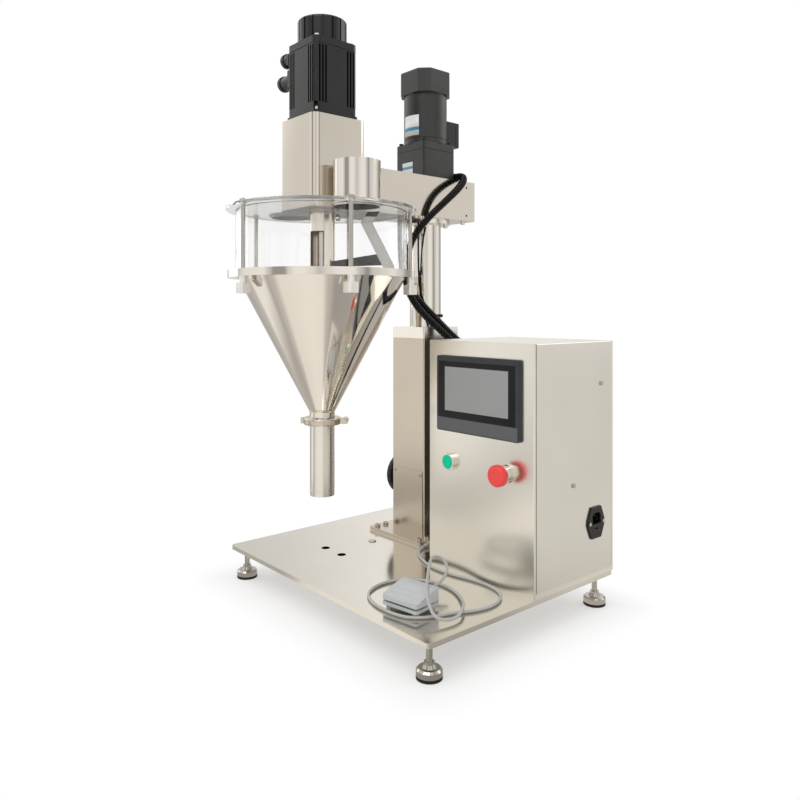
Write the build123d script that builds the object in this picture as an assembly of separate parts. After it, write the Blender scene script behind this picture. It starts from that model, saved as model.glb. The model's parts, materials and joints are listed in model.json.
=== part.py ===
"""Tabletop auger powder filler: levelled base plate, column with screw lift, filling head with servo-driven
auger and belt-driven agitator, clear hopper, control cabinet and foot switch. Millimetres, Z up."""

import math
import os

from build123d import *

# General fits
run_fit = 0.05
free_fit = 0.3

# Base plate and feet
base_w = 590.0
base_d = 465.0
base_t = 8.0
base_top = 64.0
base_corner = 8.0
foot_inset = 24.0
foot_r = 20.0
pad_h = 5.0
stem_r = 5.0
boss_r = 14.0
boss_h = 8.0
jig_hole_r = 8.0
jig_hole_pitch = 54.0
plug_y = 0.0

# Column and lift
col_x = -125.0
col_in = 82.5
col_size = 102.0
col_wall = 4.0
flange_t = 8.0
flange_left = 17.0
flange_right = 45.0
flange_front = 53.0
flange_back = 26.0
bolt_r = 4.0
post_top = 482.0
cap_h = 24.0
cover_h = 128.0
cover_t = 2.0
tube_r = 34.2
tube_wall = 4.0
tube_up = 34.0
nut_h = 30.0
screw_r = 10.0
screw_len = 190.0
wheel_r = 46.0
wheel_w = 14.0
wheel_gap = 10.0
wheel_up = 108.5
shaft_r = 8.0
grip_r = 9.0
grip_len = 38.0
gearbox_half = 30.0
gearbox_up = 33.5
pin_up = 24.0
pin_r = 3.5
pin_out = 52.0

# Filling head
head_reach = 275.0
head_half = 61.5
head_h = 85.5
head_tail = 94.0
sheet = 3.0
collar_r = 54.0
collar_t = 10.0
under_screw = 42.0
under_in = 20.0
collar_bolt_pcr = 44.0
house_h = 171.0
house_wall = 4.0
house_plate = 11.5
house_corner = 14.0
gear_half = 45.5
gear_h = 78.5
motor_r = 47.0
motor_h = 108.0
fan_half = 47.5
fan_chamfer = 20.0
fan_h = 50.0
servo_half = 49.0
servo_flange = 102.0
servo_flange_t = 8.5
servo_h = 127.0
bell_h = 13.0
encoder_r = 48.0
encoder_h = 47.0
encoder_grooves = 16

# Agitator drive
drive_r = 24.0
driven_r = 36.0
belt_t = 2.5
belt_w = 16.0
belt_up = 27.5
out_shaft_r = 7.5

# Hopper
lid_out = 22.0
lid_t = 6.0
lid_top = 738.5
glass_out = 4.0
glass_t = 5.0
ring_out = 19.0
ring_t = 14.0
glass_h = 115.0
rod_out = 11.0
rod_r = 4.0
rod_count = 5
cone_h = 259.5
cone_wall = 2.0
cone_top_r = 162.0
neck_r = 24.7
neck_in_r = 22.5
ferrule_r = 32.0
neck_h = 18.0
ferrule_t = 5.0
clamp_r = 37.0
clamp_h = 14.0
knob_r = 6.0
fill_r = 24.0
fill_h = 145.0
inlet_rim = 3.5
inlet_gap = 2.25
inlet_h = 77.5
thumb_w = 22.0
thumb_h = 19.0

# Auger and agitator
auger_shaft_r = 9.0
flight_r = 21.7
flight_pitch = 36.0
flight_up = 50.0
sleeve_r = 25.0
sleeve_wall = 5.0
sleeve_drop = 33.5
sleeve_up = 61.5
scraper_t = 3.0
scraper_w = 20.0
blade_angle = 30.0
window_angle = -64.0
set_angle = 38.0
coupling_r = 20.0

# Control cabinet
box_w = 251.0
box_d = 228.0
box_h = 422.0
skin = 2.0
pan_lip = 5.0
groove = 1.5
tray_lip = 10.0
hmi_w = 196.5
hmi_h = 138.5
hmi_drop = 96.7
hmi_proud = 8.0
button_gap = 56.05
button_in = 57.0
start_r = 12.7
stop_r = 18.6
start_travel = 3.0
stop_travel = 5.0
power_in = 171.5
power_up = 98.0
power_plate_t = 3.0
power_screw_h = 1.4
power_screw = 20.0

# Foot switch, cable and conduits
switch_in = 113.0
switch_back = 66.5
switch_turn = 9.0
switch_w = 72.0
switch_d = 60.0
switch_foot = 7.0
cable_r = 2.5
conduit_r = 8.0

col_y = base_d / 2 - col_in
hop_x = col_x
hop_y = col_y - head_reach
head_back = col_y + head_tail
lid_r = cone_top_r + lid_out
glass_r = cone_top_r + glass_out
ring_r = cone_top_r + ring_out
rod_pcr = cone_top_r + rod_out
inlet_r = (glass_r - glass_t - head_half) / 2 - inlet_rim - inlet_gap
inlet_x = (glass_r - glass_t + head_half) / 2
port_r = inlet_r - 2
base_low = base_top - base_t
post_low = base_top + flange_t
cap_top = post_top + cap_h
wheel_z = base_top + wheel_up
gearbox_top = wheel_z + gearbox_up
tube_low = gearbox_top + tube_up
pin_z = cap_top + pin_up
head_low = lid_top
head_top = head_low + head_h
house_top = lid_top + house_h
belt_z = head_low + belt_up
box_left = base_w / 2 - box_w
box_front = base_d / 2 - box_d
box_top = base_top + box_h
lid_low = lid_top - lid_t
inlet_top = lid_top + inlet_h
ring_top = lid_low - glass_h
ring_low = ring_top - ring_t
cone_low = ring_low - cone_h
ferrule_z = cone_low - neck_h
fill_low = ferrule_z - fill_h
flight_top = cone_low + flight_up
sleeve_low = ring_top - sleeve_drop
sleeve_top = lid_top + sleeve_up
hmi_z = box_top - hmi_drop
button_z = hmi_z - hmi_h / 2 - button_gap
start_x = box_left + button_in
stop_x = base_w / 2 - button_in
power_y = box_front + power_in
power_z = base_top + power_up
switch_x = base_w / 2 - switch_in
switch_y = switch_back - base_d / 2
gear_top = head_top + gear_h
motor_top = gear_top + motor_h
servo_low = house_top + servo_flange_t
bell_low = servo_low + servo_h
bell_top = bell_low + bell_h
out_x = base_w / 2 + power_plate_t + power_screw_h

# The exported frame has its origin at the floor, under the middle of the overall box.
mid_x = ((hop_x - lid_r) + out_x) / 2
mid_y = ((hop_y - lid_r) + head_back) / 2


def block(x0, x1, y0, y1, z0, z1):
    return Pos((x0 + x1) / 2, (y0 + y1) / 2, (z0 + z1) / 2) * Box(x1 - x0, y1 - y0, z1 - z0)


def post(r, z0, z1, x=0.0, y=0.0):
    return Pos(x, y, (z0 + z1) / 2) * Cylinder(r, z1 - z0)


def ring(ro, ri, z0, z1, x=0.0, y=0.0):
    return post(ro, z0, z1, x, y) - post(ri, z0 - 1, z1 + 1, x, y)


def taper(r0, r1, z0, z1, x=0.0, y=0.0):
    return Pos(x, y, (z0 + z1) / 2) * Cone(r0, r1, z1 - z0)


def rod_x(r, x0, x1, y, z):
    return Pos((x0 + x1) / 2, y, z) * Rot(0, 90, 0) * Cylinder(r, x1 - x0)


def rod_y(r, y0, y1, x, z):
    return Pos(x, (y0 + y1) / 2, z) * Rot(90, 0, 0) * Cylinder(r, y1 - y0)


def bar(w, d, r, z0, z1, x=0.0, y=0.0):
    return Pos(x, y, z0) * extrude(RectangleRounded(w, d, r), z1 - z0)


def around(count, radius, start, x, y):
    turns = [math.radians(start + 360.0 * i / count) for i in range(count)]
    return [(x + radius * math.cos(a), y + radius * math.sin(a)) for a in turns]


def cap_screw(r, head_h, shank, x, y, z):
    """Socket head screw, head seated on z, pointing down."""
    head = post(1.6 * r, z, z + head_h, x, y) - post(0.8 * r, z + 0.45 * head_h, z + head_h + 1, x, y)
    return head + post(r, z - shank, z, x, y)


def save(name, shape):
    os.makedirs("parts", exist_ok=True)
    export_step(Pos(-mid_x, -mid_y, 0) * shape, f"parts/{name}.step")


def group(name, shapes):
    save(name, Compound(children=shapes))


def smooth_path(points, limit):
    """Straight runs joined by tangent arcs."""
    pts = [Vector(*p) for p in points]
    radii = []
    for a, b, c in zip(pts, pts[1:], pts[2:]):
        turn = math.radians((b - a).get_angle(c - b))
        short = min((b - a).length, (c - b).length)
        radii.append(min(limit, 0.45 * short / math.tan(turn / 2)))
    print("route", round(sum((b - a).length for a, b in zip(pts, pts[1:]))), "least bend", round(min(radii), 1))
    return FilletPolyline(*pts, radius=radii)


def hose(points, r, limit):
    path = smooth_path(points, limit)
    solid = sweep(Plane(origin=path @ 0, z_dir=path % 0) * Circle(r), path=path)
    print("volume ratio", round(solid.volume / (math.pi * r * r * path.length), 4))
    return solid


def ribbon(points, t, width):
    """Flat strip of thickness t bent along points of a radial plane, given as radius and height."""
    sides = []
    for s in (1, -1):
        row = []
        for i, (r, z) in enumerate(points):
            near = [points[max(i - 1, 0)], (r, z), points[min(i + 1, len(points) - 1)]]
            dirs = []
            for (r0, z0), (r1, z1) in zip(near, near[1:]):
                n = math.hypot(r1 - r0, z1 - z0)
                if n > 0:
                    dirs.append((-(z1 - z0) / n, (r1 - r0) / n))
            nx = sum(d[0] for d in dirs) / len(dirs)
            nz = sum(d[1] for d in dirs) / len(dirs)
            k = s * t / 2 / (nx * nx + nz * nz)
            row.append((r + k * nx, z + k * nz))
        sides.append(row)
    outline = make_face(Polyline(*(sides[0] + sides[1][::-1]), close=True))
    return extrude(Plane.XZ * outline, width / 2, both=True)


# Base plate: bosses under it take the screwed stems, two jig holes and a plugged one lie under the filling tube
foot_x = base_w / 2 - foot_inset
foot_y = base_d / 2 - foot_inset
foot_spots = [(sx * foot_x, sy * foot_y) for sx in (-1, 1) for sy in (-1, 1)]
jig_spots = [(hop_x + s * jig_hole_pitch / 2, hop_y + 27.0) for s in (-1, 1)]
plate = bar(base_w, base_d, base_corner, base_low, base_top)
for x, y in foot_spots:
    plate += taper(boss_r - 4, boss_r, base_low - boss_h, base_low, x, y)
for x, y in foot_spots:
    plate -= post(stem_r + run_fit, base_low - boss_h - 1, base_top - 2, x, y)
for x, y in jig_spots:
    plate -= post(jig_hole_r, base_low - 1, base_top + 1, x, y)
plate -= post(jig_hole_r - 2, base_low - 1, base_top + 1, hop_x, plug_y)
flange_x0 = col_x - col_size / 2 - flange_left
flange_x1 = col_x + col_size / 2 + flange_right
flange_y0 = col_y - col_size / 2 - flange_front
flange_y1 = col_y + col_size / 2 + flange_back
bolt_x = (flange_x0 + 15.0, flange_x1 - 15.0)
bolt_y = (flange_y0 + 11.0, flange_y0 + 34.0, flange_y1 - 12.0)
bolt_spots = [(x, y) for x in bolt_x for y in bolt_y]
for x, y in bolt_spots:
    plate -= post(bolt_r + free_fit, base_low - 1, base_top + 1, x, y)
save("base_plate", plate)

feet = []
pads = []
for x, y in foot_spots:
    foot = post(foot_r, pad_h, pad_h + 8, x, y) + taper(foot_r, foot_r - 3, pad_h + 8, pad_h + 11, x, y)
    foot += taper(11, 8, pad_h + 11, pad_h + 16, x, y) + post(8, pad_h + 16, pad_h + 20, x, y)
    feet.append(foot + post(stem_r, pad_h + 19, base_top - 3, x, y))
    pads.append(post(foot_r, 0, pad_h, x, y) - ring(foot_r + 1, foot_r - 0.8, pad_h - 2, pad_h - 1, x, y))
group("levelling_feet", feet)
group("foot_pads", pads)

# Column: square post welded to its foot flange, with an access cover low on the front and a guide cap on top
c0 = col_x - col_size / 2
c1 = col_x + col_size / 2
d0 = col_y - col_size / 2
d1 = col_y + col_size / 2
column = bar(col_size, col_size, 3, post_low - 1, post_top, col_x, col_y)
column -= bar(col_size - 2 * col_wall, col_size - 2 * col_wall, 2, post_low, post_top + 1, col_x, col_y)
flange = Pos((flange_x0 + flange_x1) / 2, (flange_y0 + flange_y1) / 2, base_top) * extrude(
    RectangleRounded(flange_x1 - flange_x0, flange_y1 - flange_y0, 4), flange_t
)
flange -= block(flange_x0 - 1, flange_x1 + 1, flange_y0 - 1, flange_y0 + 1.2, base_top + 4, base_top + 5)
column += flange
for x, y in bolt_spots:
    column -= post(bolt_r + free_fit, base_top - 1, post_low + 1, x, y)
column -= block(col_x - 32, col_x + 32, d0 - 1, d0 + col_wall + 1, post_low + 14, post_low + cover_h - 22)
column += rod_x(shaft_r + 7, c0 - 5, c0 + 1, col_y, wheel_z)
column -= rod_x(shaft_r + run_fit, c0 - 6, c0 + col_wall + 1, col_y, wheel_z)
screw_spots = [(col_x + s * (col_size / 2 - 10), post_low + cover_h - 8) for s in (-1, 1)]
for x, z in screw_spots:
    column -= rod_y(2 + free_fit, d0 - 1, d0 + col_wall + 1, x, z)
save("column_post", column)
cover = block(c0 + 4, c1 - 4, d0 - cover_t, d0, post_low, post_low + cover_h)
for x, z in screw_spots:
    cover -= rod_y(2 + free_fit, d0 - cover_t - 1, d0 + 1, x, z)
save("column_cover", cover)
cap = bar(col_size, col_size, 3, post_top, cap_top, col_x, col_y)
plug_size = col_size - 2 * col_wall - 1
cap -= bar(col_size + 2, col_size + 2, 3, post_top - 1, post_top + 1.2, col_x, col_y) - bar(
    col_size - 3, col_size - 3, 3, post_top - 2, post_top + 2, col_x, col_y
)
cap += bar(plug_size, plug_size, 2, post_top - 30, post_top + 1, col_x, col_y)
cap -= post(tube_r + run_fit, post_top - 31, cap_top + 1, col_x, col_y)
save("column_cap", cap)
group("flange_bolts", [cap_screw(bolt_r, 5, flange_t + base_t - 1, x, y, post_low) for x, y in bolt_spots])

# Screw lift: handwheel, closed right-angle gearbox, lead screw, and the round tube that carries the head
gearbox = bar(2 * gearbox_half, 2 * gearbox_half, 3, post_low, gearbox_top, col_x, col_y)
gearbox += ring(18, screw_r + run_fit, gearbox_top, gearbox_top + 6, col_x, col_y)
gearbox -= post(screw_r + run_fit, gearbox_top - 20, gearbox_top + 7, col_x, col_y)
gearbox -= rod_x(shaft_r + run_fit, col_x - gearbox_half - 1, col_x - 8, col_y, wheel_z)
save("lift_gearbox", gearbox)
save("leadscrew", post(screw_r, gearbox_top - 19, gearbox_top + screw_len, col_x, col_y))
wheel_x = c0 - 5 - wheel_gap
grip_y = col_y + wheel_r - 14
wheel = rod_x(wheel_r, wheel_x - wheel_w, wheel_x, col_y, wheel_z)
wheel = fillet(wheel.edges().filter_by(GeomType.CIRCLE), 4)
wheel -= rod_x(wheel_r - 11, wheel_x - wheel_w - 1, wheel_x - wheel_w / 2 - 2.5, col_y, wheel_z)
wheel -= rod_x(wheel_r - 11, wheel_x - wheel_w / 2 + 2.5, wheel_x + 1, col_y, wheel_z)
wheel += rod_x(15, wheel_x - wheel_w - 4, wheel_x + wheel_gap - 1, col_y, wheel_z)
for y, z in around(24, wheel_r + 1.2, 7.5, col_y, wheel_z):
    wheel -= rod_x(2.6, wheel_x - wheel_w - 1, wheel_x + 1, y, z)
wheel += rod_x(9, wheel_x - wheel_w + 1, wheel_x - 1, grip_y, wheel_z)
wheel += rod_x(3.5, wheel_x - wheel_w - grip_len, wheel_x - wheel_w + 2, grip_y, wheel_z)
wheel -= rod_x(shaft_r, wheel_x - wheel_w, wheel_x + wheel_gap, col_y, wheel_z)
save("handwheel", wheel)
save("handwheel_shaft", rod_x(shaft_r, wheel_x - wheel_w, col_x - 9, col_y, wheel_z))
grip = rod_x(grip_r, wheel_x - wheel_w - grip_len - 4, wheel_x - wheel_w - free_fit, grip_y, wheel_z)
grip = fillet(grip.edges().filter_by(GeomType.CIRCLE), 3)
grip -= rod_x(3.5 + run_fit, wheel_x - wheel_w - grip_len - free_fit, wheel_x, grip_y, wheel_z)
save("handwheel_grip", grip)
tube = ring(tube_r, tube_r - tube_wall, tube_low, head_low, col_x, col_y)
tube += ring(tube_r - tube_wall + 0.5, screw_r + run_fit, tube_low, tube_low + nut_h, col_x, col_y)
tube += ring(collar_r, tube_r - tube_wall, head_low - collar_t, head_low, col_x, col_y)
collar_spots = around(4, collar_bolt_pcr, 45, col_x, col_y)
for x, y in collar_spots:
    tube -= post(3 + free_fit, head_low - collar_t - 1, head_low + 1, x, y)
tube -= rod_x(pin_r, col_x - tube_r - 5, col_x + tube_r + 5, col_y, pin_z)
save("lift_tube", tube)
save("stop_pin", rod_x(pin_r, col_x - tube_r - 7, col_x + pin_out, col_y, pin_z))

# Head box: folded sheet, open towards the servo housing
house_back = hop_y + head_half
head = block(col_x - head_half, col_x + head_half, house_back, head_back, head_low, head_top)
head = fillet(head.edges().filter_by(Axis.Z).group_by(Axis.Y)[-1], 4)
head -= block(
    col_x - head_half + sheet, col_x + head_half - sheet, house_back - 1, head_back - sheet,
    head_low + sheet, head_top - sheet,
)
head -= post(20, head_top - sheet - 1, head_top + 1, col_x, col_y)
under_spots = [(col_x + side * under_screw, head_back - under_in) for side in (-1, 1)]
for x, y in collar_spots + under_spots:
    head -= post(3 + free_fit, head_low - 1, head_low + sheet + 1, x, y)
side_spots = [(y, z) for y in (head_back - 28,) for z in (head_low + 11, head_top - 13)]
for y, z in side_spots:
    head -= rod_x(2 + free_fit, col_x - head_half - 1, col_x + head_half + 1, y, z)
gear_spots = [(col_x + sx * (gear_half - 8), col_y + sy * (gear_half - 8)) for sx in (-1, 1) for sy in (-1, 1)]
for x, y in gear_spots:
    head -= post(3 + free_fit, head_top - sheet - 1, head_top + 1, x, y)
save("head_box", head)

# Gear motor standing on the head box over the column
gear = bar(2 * gear_half, 2 * gear_half, 5, head_top, gear_top, col_x, col_y)
gear -= block(col_x - 60, col_x + 60, col_y - 60, col_y - gear_half + 1, gear_top - 17, gear_top - 15.5)
gear -= block(col_x + gear_half - 1, col_x + 60, col_y - 60, col_y + 60, gear_top - 17, gear_top - 15.5)
gear += post(18, head_top - sheet, head_top + 1, col_x, col_y)
gear -= post(out_shaft_r + run_fit, head_top - sheet - 1, head_top + 25, col_x, col_y)
for x, y in gear_spots:
    gear -= post(3 + free_fit, head_top - 1, gear_top + 1, x, y)
save("gearhead", gear)
motor = post(motor_r, gear_top, motor_top, col_x, col_y)
motor -= ring(motor_r + 1, motor_r - 1.2, motor_top - 4, motor_top - 2, col_x, col_y)
motor -= ring(motor_r + 1, motor_r - 1.2, gear_top + 10, gear_top + 11.5, col_x, col_y)
for x, y in gear_spots:
    motor -= post(6, gear_top - 1, gear_top + 9, x, y)
save("gearmotor_body", motor)
fan = Pos(col_x, col_y, motor_top) * extrude(
    chamfer(Rectangle(2 * fan_half, 2 * fan_half).vertices(), fan_chamfer), fan_h
)
fan = fillet(fan.faces().sort_by(Axis.Z)[-1].edges(), 3)
for a in range(8):
    vent = block(14, 34, -1.5, 1.5, motor_top + fan_h - 2, motor_top + fan_h + 1)
    fan -= Pos(col_x, col_y, 0) * Rot(0, 0, 45 * a + 22.5) * vent
for sx, sy in ((1, -1), (-1, -1), (1, 1), (-1, 1)):
    notch = fan_half - fan_chamfer / 2
    fan -= post(3.5, motor_top - 1, motor_top + 12, col_x + sx * (notch + 2.0), col_y + sy * (notch + 2.0))
save("gearmotor_fan_cover", fan)
terminal = block(col_x - 28, col_x + 28, col_y + 30, col_y + 78, gear_top + 3, gear_top + 57)
terminal = fillet(terminal.edges().filter_by(Axis.Z), 3)
terminal -= post(motor_r, gear_top - 1, motor_top, col_x, col_y)
terminal -= block(col_x - 40, col_x + 40, col_y + 66, col_y + 67, gear_top, gear_top + 60) - block(
    col_x - 27, col_x + 27, col_y + 60, col_y + 70, gear_top + 4, gear_top + 56
)
save("gearmotor_terminal_box", terminal)

# Servo housing: square tube with a bearing plate at the bottom and a motor plate on top
house = bar(2 * head_half, 2 * head_half, house_corner, lid_top, house_top, hop_x, hop_y)
house -= bar(
    2 * (head_half - house_wall), 2 * (head_half - house_wall), house_corner - house_wall,
    lid_top + house_plate, house_top - 8, hop_x, hop_y,
)
house -= post(sleeve_r + run_fit, lid_top - 1, lid_top + house_plate + 1, hop_x, hop_y)
house -= post(26, house_top - 9, house_top + 1, hop_x, hop_y)
house -= block(
    hop_x - head_half + house_corner, hop_x + head_half - house_corner,
    house_back - house_wall - 1, house_back + 1, lid_top + house_plate, head_top - sheet,
)
servo_pitch = servo_flange / 2 - 9
servo_spots = [(hop_x + sx * servo_pitch, hop_y + sy * servo_pitch) for sx in (-1, 1) for sy in (-1, 1)]
for x, y in servo_spots:
    house -= post(3 + free_fit, house_top - 9, house_top + 1, x, y)
save("servo_housing", house)

# Servo motor: flange, finned body and rear bell in one casting, with the encoder cap on top
servo = bar(servo_flange, servo_flange, 8, house_top, servo_low, hop_x, hop_y)
body = bar(2 * servo_half, 2 * servo_half, 9, servo_low, bell_low, hop_x, hop_y)
for i in range(4):
    for off in (-39.5, -32.5, -25.5, 25.5, 32.5, 39.5):
        slot = block(off - 1.9, off + 1.9, -servo_half - 1, -servo_half + 5, servo_low + 16, bell_low - 3)
        body -= Pos(hop_x, hop_y, 0) * Rot(0, 0, 90 * i) * slot
servo += body
servo += bar(2 * servo_half + 2, 2 * servo_half + 2, 12, bell_low, bell_top, hop_x, hop_y)
for x, y in servo_spots:
    servo -= post(3 + free_fit, house_top - 1, servo_low + 1, x, y)
    servo -= post(6.5, servo_low, servo_low + 16, x, y)
servo -= post(auger_shaft_r + 0.5 + run_fit, house_top - 1, house_top + 20, hop_x, hop_y)
bell_pitch = servo_half - 8
bell_spots = [(hop_x + sx * bell_pitch, hop_y + sy * bell_pitch) for sx in (-1, 1) for sy in (-1, 1)]
for x, y in bell_spots:
    servo -= post(2.5 + free_fit, bell_top - 11, bell_top + 1, x, y)
save("servo_body", servo)
encoder = post(encoder_r, bell_top, bell_top + encoder_h, hop_x, hop_y)
encoder = fillet(encoder.faces().sort_by(Axis.Z)[-1].edges(), 5)
for i in range(encoder_grooves):
    notch = block(-1.8, 1.8, -encoder_r - 5, -encoder_r + 3, bell_top - 1, bell_top + encoder_h + 1)
    encoder -= Pos(hop_x, hop_y, 0) * Rot(0, 0, 360.0 * (i + 0.5) / encoder_grooves) * notch
save("servo_encoder_cap", encoder)
plugs = []
for dy, z, r, out in ((-32, bell_low - 4, 13, 30), (-29, bell_low - 46, 14, 45)):
    x1 = hop_x - servo_half
    plug = block(x1 - 7, x1, hop_y + dy - r - 2, hop_y + dy + r + 2, z - r - 2, min(z + r + 2, bell_low))
    plug += rod_x(r, x1 - out, x1 - 6, hop_y + dy, z)
    plug += rod_x(r + 1.5, x1 - out - 1, x1 - out + 7, hop_y + dy, z)
    plugs.append(plug)
group("servo_connectors", plugs)
screws = [cap_screw(3, 6, servo_flange_t + 6, x, y, servo_low) for x, y in servo_spots]
screws += [cap_screw(3, 6, gear_h + 2, x, y, gear_top) for x, y in gear_spots]
screws += [cap_screw(2.5, 4, 10, x, y, bell_top) for x, y in bell_spots]
for x, y in collar_spots:
    screws.append(
        Pos(x, y, head_low - collar_t) * Rot(180, 0, 0) * cap_screw(3, 6, collar_t + 2, 0, 0, 0)
    )
for x, y in under_spots:
    screws.append(Pos(x, y, head_low) * Rot(180, 0, 0) * cap_screw(3, 6, sheet + 5, 0, 0, 0))
group("head_screws", screws)

# Agitator drive: pulley on the gear motor shaft, belt, pulley on the agitator sleeve
half_w = belt_w / 2 + 0.5


def pulley(r, hub_r, hub_top, bore, x, y):
    wheel = post(r, belt_z - half_w, belt_z + half_w, x, y)
    wheel += post(r + 4, belt_z + half_w, belt_z + half_w + 2.5, x, y)
    wheel += post(r + 4, belt_z - half_w - 2.5, belt_z - half_w, x, y)
    wheel += post(hub_r, belt_z, hub_top, x, y)
    return wheel - post(bore, belt_z - half_w - 3, hub_top + 1, x, y) if bore > 0 else wheel


drive = pulley(drive_r, 14, belt_z + half_w + 14, 0, col_x, col_y)
save("drive_pulley", drive + post(out_shaft_r, belt_z, head_top + 24, col_x, col_y))
save("driven_pulley", pulley(driven_r, sleeve_r + 6, belt_z + half_w + 12, sleeve_r, hop_x, hop_y))


def belt_face(grow):
    span = col_y - hop_y
    lean = math.asin((driven_r - drive_r) / span)
    c, s = math.cos(lean), math.sin(lean)
    a, b = driven_r + grow, drive_r + grow
    right = Line((a * c, a * s), (b * c, span + b * s))
    top = ThreePointArc((b * c, span + b * s), (0, span + b), (-b * c, span + b * s))
    left = Line((-b * c, span + b * s), (-a * c, a * s))
    low = ThreePointArc((-a * c, a * s), (0, -a), (a * c, a * s))
    return make_face([right, top, left, low])


belt = extrude(belt_face(free_fit + belt_t) - belt_face(free_fit), belt_w)
save("drive_belt", Pos(hop_x, hop_y, belt_z - belt_w / 2) * belt)

# Agitator: sleeve with a sight window, radial blade and bent scraper
sleeve_in = sleeve_r - sleeve_wall
sleeve = ring(sleeve_r, sleeve_in, sleeve_low, sleeve_top, hop_x, hop_y)
sleeve += ring(sleeve_in + 0.5, auger_shaft_r + free_fit, sleeve_low, sleeve_low + 10, hop_x, hop_y)
window = block(0, sleeve_r + 5, -15, 15, sleeve_low + 40, sleeve_low + 111)
sleeve -= Pos(hop_x, hop_y, 0) * Rot(0, 0, window_angle) * window
set_z = lid_low - 10
set_screw = rod_x(2.5, sleeve_r - 2, sleeve_r + 5, 0, set_z) + rod_x(6.5, sleeve_r + 4, sleeve_r + 10, 0, set_z)
sleeve += Pos(hop_x, hop_y, 0) * Rot(0, 0, set_angle) * set_screw
save("agitator_sleeve", sleeve)
foot_up = 142.0
foot_wall = neck_in_r + (cone_top_r - cone_wall - neck_in_r) * foot_up / cone_h
strip = [
    (cone_top_r - 49, lid_low + 3), (cone_top_r - 69, lid_low - 23), (cone_top_r - 23, ring_top + 5.5),
    (cone_top_r - 20, ring_top - 11.5), (foot_wall - 17.7, cone_low + foot_up),
]
arm = Pos(hop_x, hop_y, 0) * Rot(0, 0, blade_angle)
scraper = ribbon(strip, scraper_w, scraper_t) - block(0, lid_r, -20, 20, lid_low - 2.5, lid_low + 40)
save("agitator_scraper", arm * scraper)
blade_plan = make_face(
    Polyline(
        (sleeve_r - 4, ring_top + 8.5), (cone_top_r - 34, ring_top + 10), (cone_top_r - 35.5, ring_top + 32.5),
        (sleeve_r - 4, ring_top + 19.5), close=True,
    )
)
blade = extrude(Plane.XZ * blade_plan, 2.5, both=True) - post(sleeve_r, ring_top, lid_low)
blade -= ribbon(strip, scraper_w, 4 * scraper_t)
save("agitator_blade", arm * max(blade.solids(), key=lambda s: s.volume))

# Auger: servo shaft, coupling, and the long screw that meters the powder in the fill tube
shaft_joint = sleeve_top + 50.0
save("servo_shaft", post(auger_shaft_r + 0.5, shaft_joint, house_top + 19, hop_x, hop_y))
coupling = post(coupling_r, shaft_joint - 25, shaft_joint + 25, hop_x, hop_y)
coupling -= post(auger_shaft_r, shaft_joint - 26, shaft_joint, hop_x, hop_y)
coupling -= post(auger_shaft_r + 0.5, shaft_joint, shaft_joint + 26, hop_x, hop_y)
for dz in (-9, 9):
    slit = shaft_joint + dz
    coupling -= ring(coupling_r + 1, coupling_r - 6, slit - 0.8, slit + 0.8, hop_x, hop_y)
save("shaft_coupling", coupling)
flight_low = fill_low + 3
flight_len = flight_top - flight_low
half_arc = math.radians(180.0 * 3.0 / flight_pitch)
rim = [(flight_r * math.cos(a), flight_r * math.sin(a)) for a in (-half_arc, 0, half_arc)]
core = auger_shaft_r - 2
root = [(core * math.cos(a), core * math.sin(a)) for a in (-half_arc, half_arc)]
outline = make_face([
    Line(root[0], rim[0]),
    ThreePointArc(*rim),
    Line(rim[2], root[1]),
    ThreePointArc(root[1], (-core, 0), root[0]),
])
flight = Solid.extrude_linear_with_rotation(
    outline.face(), (0, 0, 0), (0, 0, flight_len), 360.0 * flight_len / flight_pitch
)
auger = Pos(hop_x, hop_y, flight_low) * Part(flight.wrapped)
auger += post(auger_shaft_r, flight_top, shaft_joint, hop_x, hop_y)
save("auger_screw", auger)

# Hopper: clear lid and cylinder clamped by rods between lid and ring, steel cone with a ferrule
rod_spots = around(rod_count, rod_pcr, -90, hop_x, hop_y)
lid = post(lid_r, lid_low, lid_top, hop_x, hop_y) - post(sleeve_r + 1.5, lid_low - 1, lid_top + 1, hop_x, hop_y)
lid -= post(inlet_r + free_fit, lid_low - 1, lid_top + 1, hop_x + inlet_x, hop_y)
lid -= post(port_r + free_fit, lid_low - 1, lid_top + 1, hop_x - inlet_x, hop_y)
for x, y in rod_spots:
    lid -= post(rod_r + free_fit, lid_low - 1, lid_top + 1, x, y)
save("hopper_lid", lid)
inlet = ring(inlet_r, inlet_r - 1.5, lid_low, inlet_top, hop_x + inlet_x, hop_y)
inlet += ring(inlet_r + inlet_rim, inlet_r - 1, lid_top, lid_top + 2, hop_x + inlet_x, hop_y)
save("feed_inlet", inlet)
port = post(port_r, lid_low, lid_top + 1, hop_x - inlet_x, hop_y)
port += post(port_r + 4, lid_top, lid_top + 4, hop_x - inlet_x, hop_y)
port += post(7, lid_top + 3, lid_top + 16, hop_x - inlet_x, hop_y)
save("lid_port_plug", port)
save("hopper_cylinder", ring(glass_r, glass_r - glass_t, ring_top, lid_low, hop_x, hop_y))
cone = taper(neck_r, cone_top_r, cone_low, ring_low, 0, 0) - taper(
    neck_in_r, cone_top_r - cone_wall, cone_low, ring_low, 0, 0
)
cone += ring(ring_r, cone_top_r - cone_wall - 0.5, ring_low, ring_top)
cone += ring(neck_r, neck_in_r, ferrule_z, cone_low)
cone += taper(ferrule_r, ferrule_r - 2, ferrule_z, ferrule_z + ferrule_t) - post(
    neck_in_r, ferrule_z - 1, ferrule_z + ferrule_t + 1
)
cone = Pos(hop_x, hop_y, 0) * cone
for x, y in rod_spots:
    cone -= post(rod_r + free_fit, ring_low - 1, ring_top + 1, x, y)
save("hopper_cone", cone)
rods = []
nuts = []
thumb_top = ring_low - 12
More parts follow.
